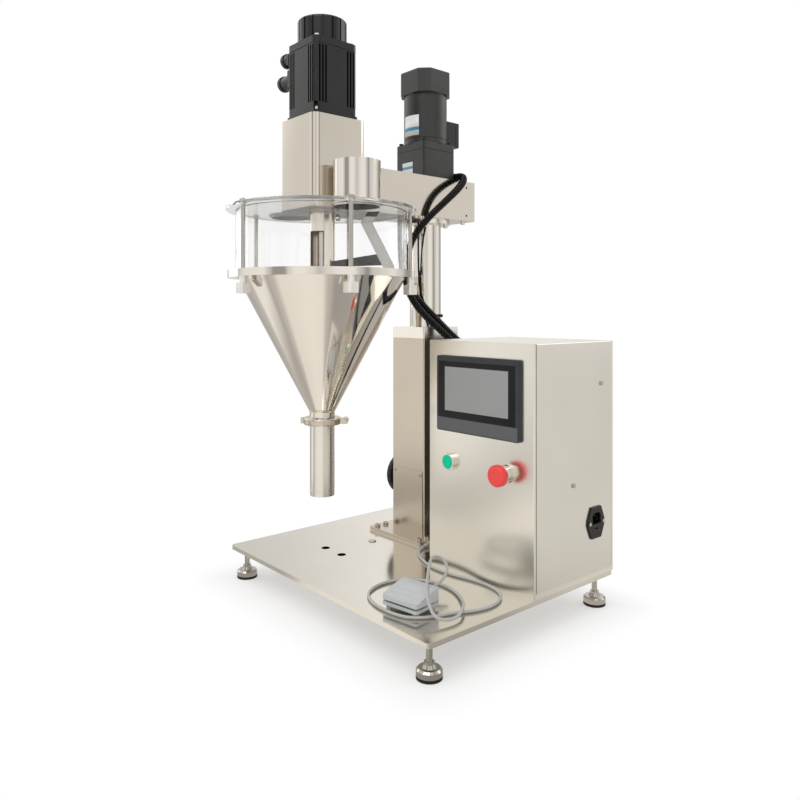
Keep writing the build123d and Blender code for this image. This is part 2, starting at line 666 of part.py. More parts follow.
for x, y in rod_spots:
    rod = post(rod_r, thumb_top - thumb_h + 2, lid_top + 1, x, y) + post(rod_r + 3, lid_top, lid_top + 4, x, y)
    rods.append(rod + Pos(x, y, lid_top + 4) * Sphere(rod_r + 1, arc_size1=0))
    nut = bar(thumb_w, thumb_w, 5, thumb_top - thumb_h, thumb_top, x, y) + post(6.5, thumb_top, ring_low, x, y)
    for k in range(4):
        for off in (-4, 0, 4):
            flute = block(off - 0.8, off + 0.8, -thumb_w, 0.8 - thumb_w / 2, -thumb_h - 1, 1)
            nut -= Pos(x, y, thumb_top) * Rot(0, 0, 90 * k) * flute
    nuts.append(nut - post(rod_r, thumb_top - thumb_h + 2, ring_low + 1, x, y))
group("tie_rods", rods)
group("thumb_nuts", nuts)

# Fill tube held to the cone by a two-part clamp with a hand knob
fill = ring(fill_r, neck_in_r, fill_low, ferrule_z)
fill += taper(ferrule_r - 2, ferrule_r, ferrule_z - ferrule_t, ferrule_z) - post(
    neck_in_r, ferrule_z - ferrule_t - 1, ferrule_z + 1
)
fill -= ring(fill_r + 1, fill_r - 0.8, fill_low + 11, fill_low + 12.5)
save("fill_tube", Pos(hop_x, hop_y, 0) * fill)
clamp_low = ferrule_z - clamp_h / 2
clamp_turn = 45.0
clamp_bolt_x = clamp_r + 7
lug = 6.5
hold = post(clamp_r, clamp_low, clamp_low + clamp_h)
hold = fillet(hold.edges().filter_by(GeomType.CIRCLE), 3.5)
hold += block(clamp_r - 6, clamp_bolt_x + 5.5, -lug, lug, clamp_low + 1.5, clamp_low + clamp_h - 1.5)
hold += block(-clamp_r - 5, -clamp_r + 6, -5, 5, clamp_low + 1.5, clamp_low + clamp_h - 1.5)
hold -= post(neck_r + 0.8, clamp_low - 1, clamp_low + clamp_h + 1)
hold -= post(ferrule_r + 0.5, ferrule_z - ferrule_t, ferrule_z + ferrule_t)
hold -= rod_y(3.2, -20, 20, clamp_bolt_x, ferrule_z)
halves = [hold & block(-80, 80, 0.4, 80, 0, 900), hold & block(-80, 80, -80, -0.4, 0, 900)]
bolt = rod_y(3, -lug - 4, lug + 17, clamp_bolt_x, ferrule_z) + rod_y(5, -lug - 4.5, -lug, clamp_bolt_x, ferrule_z)
turned = Pos(hop_x, hop_y, 0) * Rot(0, 0, clamp_turn)
group("tube_clamp", [turned * half for half in halves] + [turned * bolt])
knob = rod_y(knob_r, lug + 4, lug + 15, clamp_bolt_x, ferrule_z)
knob = fillet(knob.edges().filter_by(GeomType.CIRCLE), 2)
knob += rod_y(knob_r - 1.5, lug, lug + 5, clamp_bolt_x, ferrule_z)
for x, z in around(10, knob_r + 0.6, 0, clamp_bolt_x, ferrule_z):
    knob -= rod_y(1.2, lug + 3, lug + 16, x, z)
knob -= rod_y(3 + run_fit, lug - 1, lug + 20, clamp_bolt_x, ferrule_z)
save("clamp_knob", turned * knob)

# Control cabinet: tray with front and rear pans, and a wrap-round cover
x0, x1 = box_left, base_w / 2
y0, y1 = box_front, base_d / 2
cover_y0 = y0 + pan_lip + groove
cover_y1 = y1 - pan_lip - groove
cover_z0 = base_top + tray_lip
tray = block(x0, x1, y0, y0 + pan_lip, base_top, box_top) + block(x0, x1, y1 - pan_lip, y1, base_top, box_top)
tray = fillet(tray.edges().filter_by(Axis.Z), 1.5)
tray += block(x0, x1, y0 + pan_lip - 1, y1 - pan_lip + 1, base_top, cover_z0)
tray += block(
    x0 + skin + 0.2, x1 - skin - 0.2, y0 + pan_lip - 1, y0 + 14, cover_z0 - 1, box_top - skin - 0.2
) + block(x0 + skin + 0.2, x1 - skin - 0.2, y1 - 14, y1 - pan_lip + 1, cover_z0 - 1, box_top - skin - 0.2)
for side in (x0, x1):
    tray -= block(side - groove, side + groove, cover_y0, cover_y1, cover_z0 - groove, cover_z0 + 0.5)
inset = 2 * skin + 1
tray -= block(x0 + inset, x1 - inset, y0 + skin, y1 - skin, base_top + skin, box_top - inset)
hmi_x = (x0 + x1) / 2
hmi_back_w = hmi_w - 12
hmi_back_h = hmi_h - 12
tray -= block(
    hmi_x - hmi_back_w / 2 - free_fit, hmi_x + hmi_back_w / 2 + free_fit, y0 - 1, y0 + skin + 1,
    hmi_z - hmi_back_h / 2 - free_fit, hmi_z + hmi_back_h / 2 + free_fit,
)
for x in (start_x, stop_x):
    tray -= rod_y(11 + free_fit, y0 - 1, y0 + skin + 1, x, button_z)
save("control_tray", tray)
shell = block(x0, x1, cover_y0, cover_y1, cover_z0, box_top)
shell = fillet(shell.edges().filter_by(Axis.Y).group_by(Axis.Z)[-1], 2)
shell -= block(x0 + skin, x1 - skin, cover_y0 - 1, cover_y1 + 1, cover_z0 - 1, box_top - skin)
panel_spots = [(y0 + 189.5, box_top - 76), (y0 + 107, base_top + 173)]
for y, z in panel_spots:
    shell -= rod_x(2 + free_fit, x0 - 1, x1 + 1, y, z)
power_w = 48.0
power_h = 30.0
shell -= block(
    x1 - skin - 1, x1 + 1, power_y - power_h / 2 - free_fit, power_y + power_h / 2 + free_fit,
    power_z - power_w / 2 - free_fit, power_z + power_w / 2 + free_fit,
)
gland_spots = [
    (y0 + 135.5, box_top - 23, conduit_r), (y0 + 162.5, box_top - 24, conduit_r),
    (y0 + 113.5, base_top + 28, cable_r),
]
for y, z, r in gland_spots:
    shell -= rod_x(r + 1 + free_fit, x0 - 1, x0 + skin + 1, y, z)
save("control_cover", shell)

# Operator panel, start button, emergency stop
hmi_y = y0 - hmi_proud
bezel = Pos(hmi_x, y0, hmi_z) * Rot(90, 0, 0) * extrude(RectangleRounded(hmi_w, hmi_h, 4), hmi_proud)
bezel = chamfer(bezel.faces().sort_by(Axis.Y)[0].edges(), 1.5)
bezel += block(
    hmi_x - hmi_back_w / 2, hmi_x + hmi_back_w / 2, y0 - 1, y0 + 38,
    hmi_z - hmi_back_h / 2, hmi_z + hmi_back_h / 2,
)
pane_w = hmi_w - 12
pane_h = 103.0
pane_z = hmi_z + hmi_h / 2 - 10 - pane_h / 2
pane_x0, pane_x1 = hmi_x - pane_w / 2, hmi_x + pane_w / 2
pane_z0, pane_z1 = pane_z - pane_h / 2, pane_z + pane_h / 2
bezel -= block(pane_x0, pane_x1, hmi_y - 1, hmi_y + 2, pane_z0, pane_z1)
save("hmi_bezel", bezel)
save("hmi_screen", block(pane_x0, pane_x1, hmi_y + 0.2, hmi_y + 2, pane_z0, pane_z1))
start_face = y0 - 9.8
stem_guide = 8.0
start_bezel = rod_y(start_r + 2.6, y0 - 9, y0, start_x, button_z)
start_bezel = fillet(start_bezel.faces().sort_by(Axis.Y)[0].edges(), 1.2)
start_bezel += rod_y(11, y0 - 1, y0 + 34, start_x, button_z)
start_bezel += rod_y(14, y0 + skin, y0 + 8, start_x, button_z)
start_bezel -= rod_y(start_r + free_fit, y0 - 10, y0 - 1.5, start_x, button_z)
start_bezel -= rod_y(stem_guide + run_fit, y0 - 2, y0 + 24, start_x, button_z)
stop_seat = y0 - 14
stop_bezel = rod_y(16.5, y0 - 5, y0, stop_x, button_z) + rod_y(13, stop_seat, y0, stop_x, button_z)
stop_bezel += rod_y(11, y0 - 1, y0 + 34, stop_x, button_z) + rod_y(14, y0 + skin, y0 + 8, stop_x, button_z)
stop_bezel -= rod_y(stem_guide + run_fit, stop_seat - 1, y0 + 26, stop_x, button_z)
group("button_bezels", [start_bezel, stop_bezel])
start_low = y0 - 1.5 - start_travel - free_fit
button = rod_y(start_r, start_face, start_low, start_x, button_z)
button = fillet(button.faces().sort_by(Axis.Y)[0].edges(), 1)
save("start_button", button + rod_y(stem_guide, start_low - 1, y0 + 18, start_x, button_z))
stop_under = stop_seat - stop_travel - 1
mush = rod_y(stop_r, stop_under - 14, stop_under, stop_x, button_z)
mush = fillet(mush.faces().sort_by(Axis.Y)[0].edges(), 6)
mush = fillet(mush.faces().sort_by(Axis.Y)[-1].edges(), 2)
mush -= rod_y(stem_guide + run_fit, stop_under - 8, stop_under + 1, stop_x, button_z)
save("estop_button", mush)
save("estop_stem", rod_y(stem_guide, stop_under - 8 + free_fit, y0 + 18, stop_x, button_z))

# Mains inlet with a pull-out fuse drawer
plate_y, plate_z = 24.5, 28.0
corners = [(plate_y, 5), (14.2, plate_z), (-14.2, plate_z), (-plate_y, 5)]
corners += [(-y, -z) for y, z in corners]
power = Pos(x1, power_y, power_z) * extrude(Plane.YZ * make_face(Polyline(*corners, close=True)), power_plate_t)
power += block(
    x1 - 34, x1 + 1, power_y - power_h / 2, power_y + power_h / 2, power_z - power_w / 2, power_z + power_w / 2
)
socket_z = power_z + 7.5
drawer_z = power_z - 15.0
socket = Pos(x1 + 4, power_y, socket_z) * Rot(0, -90, 0) * extrude(
    chamfer(Rectangle(20, 25).vertices().group_by(Axis.X)[-1], 5), 20
)
power -= socket
for dy, dz in ((0, 4), (-7, -3), (7, -3)):
    power += block(x1 - 18, x1 - 1, power_y + dy - 1, power_y + dy + 1, socket_z + dz - 2, socket_z + dz + 2)
power -= block(x1 - 24, x1 + 4, power_y - 13, power_y + 13, drawer_z - 6, drawer_z + 6)
for dy in (-power_screw, power_screw):
    power -= rod_x(2 + free_fit, x1 - 1, x1 + 4, power_y + dy, power_z)
save("power_inlet", power)
drawer = block(
    x1 - 23, x1 + 3, power_y - 13 + free_fit, power_y + 13 - free_fit,
    drawer_z - 6 + free_fit, drawer_z + 6 - free_fit,
)
drawer -= block(x1 + 1, x1 + 4, power_y - 5, power_y + 5, drawer_z + 3, drawer_z + 7)
save("fuse_drawer", drawer)

# Small pan-head screws of the fixed group, and the plug screw in the base plate
small = []
for x, z in screw_spots:
    small.append(rod_y(3.6, d0 - cover_t - 2, d0 - cover_t, x, z) + rod_y(2, d0 - cover_t - 1, d0 + 8, x, z))
for y, z in panel_spots:
    for side, s in ((x0, -1), (x1, 1)):
        a, b = sorted((side, side + s * 2.2))
        c, d = sorted((side + s, side - s * 9))
        small.append(rod_x(4, a, b, y, z) + rod_x(2, c, d, y, z))
for dy in (-power_screw, power_screw):
    y = power_y + dy
    pan = rod_x(3.2, x1 + power_plate_t, out_x, y, power_z)
    small.append(pan + rod_x(2, x1 + 0.5, out_x - 0.5, y, power_z))
dome = post(jig_hole_r + 0.5, base_top, base_top + 2, hop_x, plug_y)
dome = fillet(dome.faces().sort_by(Axis.Z)[-1].edges(), 1.5)
small.append(dome + post(jig_hole_r - 2 - run_fit, base_low, base_top + 1, hop_x, plug_y))
group("panel_screws", small)

# Glands on the side of the cabinet that faces the column
glands = []
for y, z, r in gland_spots:
    body = rod_x(r + 4, x0 - 10, x0, y, z) + rod_x(r + 2.5, x0 - 18, x0 - 9, y, z)
    body += rod_x(r + 1, x0 - 1, x0 + skin + 8, y, z) + rod_x(r + 3.5, x0 + skin, x0 + skin + 5, y, z)
    glands.append(body)
group("cable_glands", glands)

# Foot switch lying on the base plate: wedge body, hinged pedal
place = Pos(switch_x, switch_y, base_top) * Rot(0, 0, switch_turn)
sw, sd = switch_w / 2, switch_d / 2
sole_h = 5.0
hinge_y = sd - 7.0
hinge_z = switch_foot + 10.0
sole = bar(switch_w, switch_d, 5, switch_foot, switch_foot + sole_h)
for sx in (-1, 1):
    for sy in (-1, 1):
        sole += post(5, 0, switch_foot + 0.5, sx * (sw - 9), sy * (sd - 9))
sole += block(-sw + 9, sw - 9, hinge_y - 4, hinge_y + 4, switch_foot + 3, hinge_z)
sole += rod_x(4, -sw + 9, sw - 9, hinge_y, hinge_z)
sole -= rod_x(1.6, -sw, sw, hinge_y, hinge_z)
sole += block(-6, 6, hinge_y + 2, sd - 0.5, switch_foot + 3, switch_foot + 11)
save("switch_base", place * sole)
skirt = switch_foot + sole_h
upper = [(-sd, skirt + 3.4), (sd, skirt + 1), (sd, skirt + 21), (sd - 12, skirt + 22), (-sd, skirt + 10)]
pedal = extrude(Plane.YZ * make_face(Polyline(*upper, close=True)), sw, both=True)
pedal = fillet(pedal.edges().filter_by(Axis.Z), 5)
hollow = [
    (3 - sd, skirt), (sd - 3, skirt), (sd - 3, skirt + 17.5), (sd - 13, skirt + 18.5), (3 - sd, skirt + 7),
]
pedal -= extrude(Plane.YZ * make_face(Polyline(*hollow, close=True)), sw - 3, both=True)
pedal -= block(-8, 8, sd - 4, sd + 1, skirt, skirt + 9)
for s in (-1, 1):
    pedal += block(s * (sw - 5.5) - 3, s * (sw - 5.5) + 3, hinge_y - 5, hinge_y + 5, hinge_z - 3, skirt + 17)
pedal += rod_x(1.6 - run_fit, -sw + 1, sw - 1, hinge_y, hinge_z)
save("switch_pedal", place * pedal)

# Foot switch cable: off the cabinet, round a wide loop on the plate, over the switch into its back
plug_in = Vector(0, sd - 0.5, switch_foot + 8).rotate(Axis.Z, switch_turn) + Vector(switch_x, switch_y, 0)
run_in = Vector(0, sd + 25, switch_foot + 8).rotate(Axis.Z, switch_turn) + Vector(switch_x, switch_y, 0)
low = cable_r + 0.1
gate = gland_spots[2]
cable_start = [
    (x0 - 18, gate[0], 28), (x0 - 40, gate[0], 28), (x0 - 58, gate[0] - 14, 20), (x0 - 66, gate[0] - 46, 9),
    (x0 - 65, gate[0] - 76, low), (x0 - 44, gate[0] - 103, low),
]
cable_loops = [
    (-146, 160, low), (-102, 147, low), (-56, 150, low), (-10, 161, low), (36, 161, low), (70, 142, low),
    (86, 104, low), (80, 66, low), (62, 32, low), (52, -4, low), (30, -34, low), (-10, -42, low),
    (-52, -38, low), (-88, -20, low), (-106, 14, low), (-106, 52, low), (-84, 86, low), (-44, 104, low),
    (0, 100, low), (40, 78, low + 3), (70, 50, low + 8), (88, 16, low + 3), (76, -16, 9),
    (52, -10, 24), (28, 8, 39), (4, 34, 48), (-22, 62, 52), (-46, 90, 51), (-46, 112, 46),
    (-26, 110, 36), (-12, 88, 24),
]
cable_route = cable_start + [(switch_x + x, switch_y + y, z) for x, y, z in cable_loops]
cable_route += [(run_in.X, run_in.Y, run_in.Z), (plug_in.X, plug_in.Y, plug_in.Z)]
save("foot_cable", hose([(x, y, z + base_top) for x, y, z in cable_route], cable_r, 300.0))

# Corrugated conduits from the head down to the cabinet; heights below the head are shares of the drop
ga, gb = gland_spots[0], gland_spots[1]
drop_a = head_low - ga[1]
drop_b = head_low - gb[1]
over = [
    (-16, 65, gear_top + 3), (-16, 65, gear_top - 25.5), (-1, 63.8, head_top + 28),
    (24.4, 60.6, head_top + 13.5), (63, 51.5, head_top + 10.8), (88.3, 31, head_top - 3.5),
    (98.4, 4.8, head_top - 25.4), (88.9, -26.4, head_low + 30),
]
down_a = [
    (69.5, -54.6, 0.991), (49.2, -73.6, 0.871), (35.9, -82.4, 0.742), (30, -85.5, 0.606), (32.3, -84.2, 0.46),
    (46, -73, 0.335), (60, -57, 0.243), (76.5, -38, 0.16), (95, -22, 0.076),
]
down_b = [
    (6, -74, 1.0), (6, -74, 0.875), (6.7, -73.6, 0.733), (10.2, -71.5, 0.593), (20, -65, 0.45),
    (38, -45, 0.335), (58, -27, 0.235), (73, -11, 0.152), (89, 3, 0.076),
]
motor_route = [(col_x + x, col_y + y, z) for x, y, z in over]
motor_route += [(col_x + x, col_y + y, ga[1] + f * drop_a) for x, y, f in down_a]
motor_route += [(x0 - 54, ga[0], ga[1]), (x0 - 18, ga[0], ga[1])]
servo_route = [(col_x + x, col_y + y, gb[1] + f * drop_b) for x, y, f in down_b]
servo_route += [(x0 - 58, gb[0], gb[1]), (x0 - 18, gb[0], gb[1])]
save("conduit_motor", hose(motor_route, conduit_r, 200.0))
save("conduit_servo", hose(servo_route, conduit_r, 200.0))
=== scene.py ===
"""Looks of the tabletop auger powder filler: materials, conduits, cable, data plates, light and camera."""
import json
import math

import bmesh
import bpy
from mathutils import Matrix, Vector


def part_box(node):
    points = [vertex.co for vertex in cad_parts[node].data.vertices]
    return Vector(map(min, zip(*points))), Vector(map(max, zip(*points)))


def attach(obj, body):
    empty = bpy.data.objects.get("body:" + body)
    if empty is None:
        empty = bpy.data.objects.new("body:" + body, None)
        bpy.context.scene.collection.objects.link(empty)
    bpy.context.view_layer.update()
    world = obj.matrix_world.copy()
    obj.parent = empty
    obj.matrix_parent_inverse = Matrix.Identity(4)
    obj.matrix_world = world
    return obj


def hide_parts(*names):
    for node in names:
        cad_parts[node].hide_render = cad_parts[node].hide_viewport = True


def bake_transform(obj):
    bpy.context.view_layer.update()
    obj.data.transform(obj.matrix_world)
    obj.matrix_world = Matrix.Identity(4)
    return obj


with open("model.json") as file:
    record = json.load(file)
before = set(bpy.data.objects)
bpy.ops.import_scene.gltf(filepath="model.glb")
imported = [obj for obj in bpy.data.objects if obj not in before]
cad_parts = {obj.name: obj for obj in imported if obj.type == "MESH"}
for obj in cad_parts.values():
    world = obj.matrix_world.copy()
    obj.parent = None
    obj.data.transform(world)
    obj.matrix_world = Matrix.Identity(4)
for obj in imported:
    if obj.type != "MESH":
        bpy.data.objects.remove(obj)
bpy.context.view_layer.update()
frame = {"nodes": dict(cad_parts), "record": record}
nodes = frame["nodes"]
scene = bpy.context.scene
scene.view_settings.view_transform = "Standard"

# The base plate's centre in the shared frame, in millimetres
PLATE_X, PLATE_Y = 4.8, 32.5
# Axes of the hopper and the column, in millimetres from that centre
HOP_X, HOP_Y = -125.0, -125.0
COL_X, COL_Y = -125.0, 150.0
# Heights of the plate's top, the head and the gearhead above the floor, in millimetres
PLATE_TOP = 64
HEAD_LOW, HEAD_TOP, GEAR_TOP = 738.5, 824.0, 902.5
# Place of the foot switch from the plate's centre, in millimetres, and how far it is turned
SWITCH_X, SWITCH_Y = 182, -166
SWITCH_TURN = math.radians(9)


def at(x, y, z):
    """A point given in millimetres, across from the base plate's centre and up from the floor."""
    return Vector(((x + PLATE_X) / 1000, (y + PLATE_Y) / 1000, z / 1000))


# Shader building blocks
def new_material(name):
    """A material, its node tree and its principled shader."""
    material = bpy.data.materials.new(name)
    material.use_nodes = True
    tree = material.node_tree
    return material, tree, tree.nodes["Principled BSDF"]


def coords(tree, scale=(1, 1, 1), rotation=(0, 0, 0)):
    """The object's own coordinates, scaled and turned."""
    source = tree.nodes.new("ShaderNodeTexCoord")
    mapping = tree.nodes.new("ShaderNodeMapping")
    mapping.inputs["Scale"].default_value = scale
    mapping.inputs["Rotation"].default_value = rotation
    tree.links.new(source.outputs["Object"], mapping.inputs["Vector"])
    return mapping.outputs["Vector"]


def axes(tree, vector):
    """The X, Y and Z of a vector."""
    split = tree.nodes.new("ShaderNodeSeparateXYZ")
    tree.links.new(vector, split.inputs[0])
    return split.outputs


def noise(tree, vector, scale, detail, rough=0.55):
    """Cloudy noise from nought to one."""
    cloud = tree.nodes.new("ShaderNodeTexNoise")
    cloud.inputs["Scale"].default_value = scale
    cloud.inputs["Detail"].default_value = detail
    cloud.inputs["Roughness"].default_value = rough
    tree.links.new(vector, cloud.inputs["Vector"])
    return cloud.outputs["Fac"]


def spread(tree, value, low, high, span=(0.3, 0.7)):
    """The value stretched from a span to the range between low and high, and held there."""
    ramp = tree.nodes.new("ShaderNodeMapRange")
    ramp.inputs["From Min"].default_value = span[0]
    ramp.inputs["From Max"].default_value = span[1]
    ramp.inputs["To Min"].default_value = low
    ramp.inputs["To Max"].default_value = high
    tree.links.new(value, ramp.inputs["Value"])
    return ramp.outputs["Result"]


def tint(tree, value, dark, light):
    """A colour between two, by noise."""
    ramp = tree.nodes.new("ShaderNodeValToRGB")
    for stop, position, color in zip(ramp.color_ramp.elements, (0.3, 0.7), (dark, light)):
        stop.position = position
        stop.color = (*color, 1)
    tree.links.new(value, ramp.inputs["Fac"])
    return ramp.outputs["Color"]


def bump(tree, shader, height, strength, distance):
    """Fine relief on the shader's surface."""
    relief = tree.nodes.new("ShaderNodeBump")
    relief.inputs["Strength"].default_value = strength
    relief.inputs["Distance"].default_value = distance
    tree.links.new(height, relief.inputs["Height"])
    tree.links.new(relief.outputs["Normal"], shader.inputs["Normal"])


def shade(color, factor):
    """The colour made lighter or darker."""
    return tuple(min(1.0, part * factor) for part in color)


def math_node(tree, operation, *values):
    """One operation on numbers or sockets."""
    node = tree.nodes.new("ShaderNodeMath")
    node.operation = operation
    for socket, value in zip(node.inputs, values):
        if isinstance(value, float):
            socket.default_value = value
        else:
            tree.links.new(value, socket)
    return node.outputs[0]


def between(tree, value, low, high, soft):
    """One between two places along an axis, falling to nought outside them."""
    rise = spread(tree, value, 0.0, 1.0, (low - soft, low + soft))
    fall = spread(tree, value, 1.0, 0.0, (high - soft, high + soft))
    return math_node(tree, "MULTIPLY", rise, fall)


def blend_colour(tree, factor, first, second):
    """A mix of two colours, each a tuple or a socket."""
    mix = tree.nodes.new("ShaderNodeMix")
    mix.data_type = "RGBA"
    tree.links.new(factor, mix.inputs["Factor"])
    for socket, value in ((mix.inputs["A"], first), (mix.inputs["B"], second)):
        if isinstance(value, tuple):
            socket.default_value = (*value, 1)
        else:
            tree.links.new(value, socket)
    return mix.outputs["Result"]


def blend_shader(tree, factor, first, second):
    """A mix of two shaders, sent to the material's surface."""
    mix = tree.nodes.new("ShaderNodeMixShader")
    for socket, value in zip(mix.inputs, (factor, first, second)):
        tree.links.new(value, socket)
    tree.links.new(mix.outputs[0], tree.nodes["Material Output"].inputs["Surface"])


# Kinds of material
def metal(name, color, rough, grain, vary, lines, streak):
    """Bare metal: grain, stretched along one axis where brushed, with slow changes of tone and gloss."""
    material, tree, shader = new_material(name)
    shader.inputs["Metallic"].default_value = 1.0
    fine = noise(tree, coords(tree, grain), scale=1.0, detail=4.0, rough=0.6)
    slow = noise(tree, coords(tree), scale=7.0, detail=2.0)
    tone = tint(tree, slow, shade(color, 1 - streak), shade(color, 1 + streak))
    tree.links.new(tone, shader.inputs["Base Color"])
    uneven = math_node(tree, "MULTIPLY_ADD", slow, 0.25, spread(tree, fine, 0.3, 0.45))
    gloss = spread(tree, uneven, rough - vary, rough + vary, (0.36, 0.64))
    tree.links.new(gloss, shader.inputs["Roughness"])
    if lines > 0:
        bump(tree, shader, fine, lines, 0.0002)
    return material


def coat(name, color, rough, grain=900.0, relief=0.15, light=1.18, clear=0.0, sheen=0.5):
    """Paint, plastic or rubber: fine relief, and faint cloudy change of colour and gloss."""
    material, tree, shader = new_material(name)
    fine = noise(tree, coords(tree), scale=grain, detail=2.0)
    slow = noise(tree, coords(tree), scale=22.0, detail=3.0)
    tone = tint(tree, slow, shade(color, 2 - light), shade(color, light))
    tree.links.new(tone, shader.inputs["Base Color"])
    tree.links.new(spread(tree, slow, rough - 0.05, rough + 0.06), shader.inputs["Roughness"])
    shader.inputs["Specular IOR Level"].default_value = sheen
    shader.inputs["Coat Weight"].default_value = clear
    shader.inputs["Coat Roughness"].default_value = 0.08
    bump(tree, shader, fine, relief, 0.0004)
    return material


def clear_plastic(name, body, gloss):
    """Clear acrylic with faint haze; body is the share of milky white in it, gloss its mirror finish."""
    material, tree, shader = new_material(name)
    haze = noise(tree, coords(tree), scale=18.0, detail=3.0)
    shader.inputs["Base Color"].default_value = (0.975, 0.978, 0.976, 1)
    shader.inputs["Transmission Weight"].default_value = 1.0 - body
    shader.inputs["IOR"].default_value = 1.03
    tree.links.new(spread(tree, haze, 0.0, 0.03), shader.inputs["Roughness"])
    shader.inputs["Coat Weight"].default_value = gloss
    shader.inputs["Coat IOR"].default_value = 1.45
    shader.inputs["Coat Roughness"].default_value = 0.02
    return material


def dark_bores(material, centres, radius):
    """Blackens the walls of two round upright holes, which lie in shadow."""
    tree = material.node_tree
    base_color = tree.nodes["Principled BSDF"].inputs["Base Color"]
    flat = coords(tree, (1, 1, 0))
    near = []
    for centre in centres:
        gap = tree.nodes.new("ShaderNodeVectorMath")
        gap.operation = "DISTANCE"
        gap.inputs[1].default_value = (centre.x, centre.y, 0)
        tree.links.new(flat, gap.inputs[0])
        near.append(spread(tree, gap.outputs["Value"], 1.0, 0.0, (radius, radius + 0.0003)))
    sheet = base_color.links[0].from_socket
    mixed = blend_colour(tree, math_node(tree, "MAXIMUM", *near), sheet, (0.012, 0.012, 0.012))
    tree.links.new(mixed, base_color)


def masked(name, inside, outside, x_span, z_span, rough_in, rough_out, soft):
    """Two finishes on one flat front: the first inside a rectangle of X and Z, the second round it."""
    material, tree, shader = new_material(name)
    place = axes(tree, coords(tree))
    across = between(tree, place["X"], *x_span, soft)
    factor = math_node(tree, "MULTIPLY", across, between(tree, place["Z"], *z_span, soft))
    cloud = noise(tree, coords(tree), scale=30.0, detail=3.0)
    outer = tint(tree, cloud, shade(outside, 0.9), shade(outside, 1.1))
    inner = tint(tree, cloud, shade(inside, 0.985), shade(inside, 1.015))
    tree.links.new(blend_colour(tree, factor, outer, inner), shader.inputs["Base Color"])
    tree.links.new(spread(tree, factor, rough_out, rough_in, (0.0, 1.0)), shader.inputs["Roughness"])
    shader.inputs["Specular IOR Level"].default_value = 0.22
    bump(tree, shader, noise(tree, coords(tree), scale=1300.0, detail=2.0), 0.05, 0.0003)
    return material


def dotted(name, color, pips):
    """Light grey moulding with a close pattern of raised pips, so many to a metre, on its upper faces."""
    material, tree, shader = new_material(name)
    grid = tree.nodes.new("ShaderNodeTexVoronoi")
    grid.inputs["Scale"].default_value = 1.0
    grid.inputs["Randomness"].default_value = 0.0
    tree.links.new(coords(tree, (pips, pips, pips), (0, 0, -SWITCH_TURN)), grid.inputs["Vector"])
    surface = tree.nodes.new("ShaderNodeNewGeometry")
    top = spread(tree, axes(tree, surface.outputs["Normal"])["Z"], 0.0, 1.0, (0.6, 0.8))
    pip = math_node(tree, "MULTIPLY", top, spread(tree, grid.outputs["Distance"], 1.0, 0.0, (0.15, 0.42)))
    slow = noise(tree, coords(tree), scale=40.0, detail=3.0)
    plain = tint(tree, slow, shade(color, 0.95), shade(color, 1.03))
    # The pips are painted lighter than the moulding: painted highlight on the raised pips
    tree.links.new(blend_colour(tree, pip, plain, shade(color, 1.22)), shader.inputs["Base Color"])
    tree.links.new(spread(tree, slow, 0.42, 0.52), shader.inputs["Roughness"])
    bump(tree, shader, pip, 0.8, 0.0010)
    return material


def two_screws(name, light, dark, y_edge, z_edge, soft=0.001):
    """Bright screws, with blackened ones behind and above the edges given."""
    material, tree, shader = new_material(name)
    place = axes(tree, coords(tree))
    behind = spread(tree, place["Y"], 0.0, 1.0, (y_edge - soft, y_edge + soft))
    above = spread(tree, place["Z"], 0.0, 1.0, (z_edge - soft, z_edge + soft))
    slow = noise(tree, coords(tree), scale=40.0, detail=3.0)
    bright = tint(tree, slow, shade(light, 0.95), shade(light, 1.05))
    black = tint(tree, slow, shade(dark, 0.9), shade(dark, 1.1))
    both = math_node(tree, "MULTIPLY", behind, above)
    tree.links.new(blend_colour(tree, both, bright, black), shader.inputs["Base Color"])
    tree.links.new(spread(tree, slow, 0.22, 0.32), shader.inputs["Roughness"])
    shader.inputs["Metallic"].default_value = 1.0
    return material


def plate_material(name, z_low, z_high):
    """Plain silver plate with one coloured band between two heights."""
    material, tree, shader = new_material(name)
    band = between(tree, axes(tree, coords(tree))["Z"], z_low, z_high, 0.0004)
    slow = noise(tree, coords(tree), scale=60.0, detail=3.0)
    silver = tint(tree, slow, (0.80, 0.80, 0.78), (0.88, 0.88, 0.86))
    blue = tint(tree, slow, (0.05, 0.30, 0.52), (0.07, 0.36, 0.60))
    tree.links.new(blend_colour(tree, band, silver, blue), shader.inputs["Base Color"])
    tree.links.new(spread(tree, slow, 0.3, 0.4), shader.inputs["Roughness"])
    return material


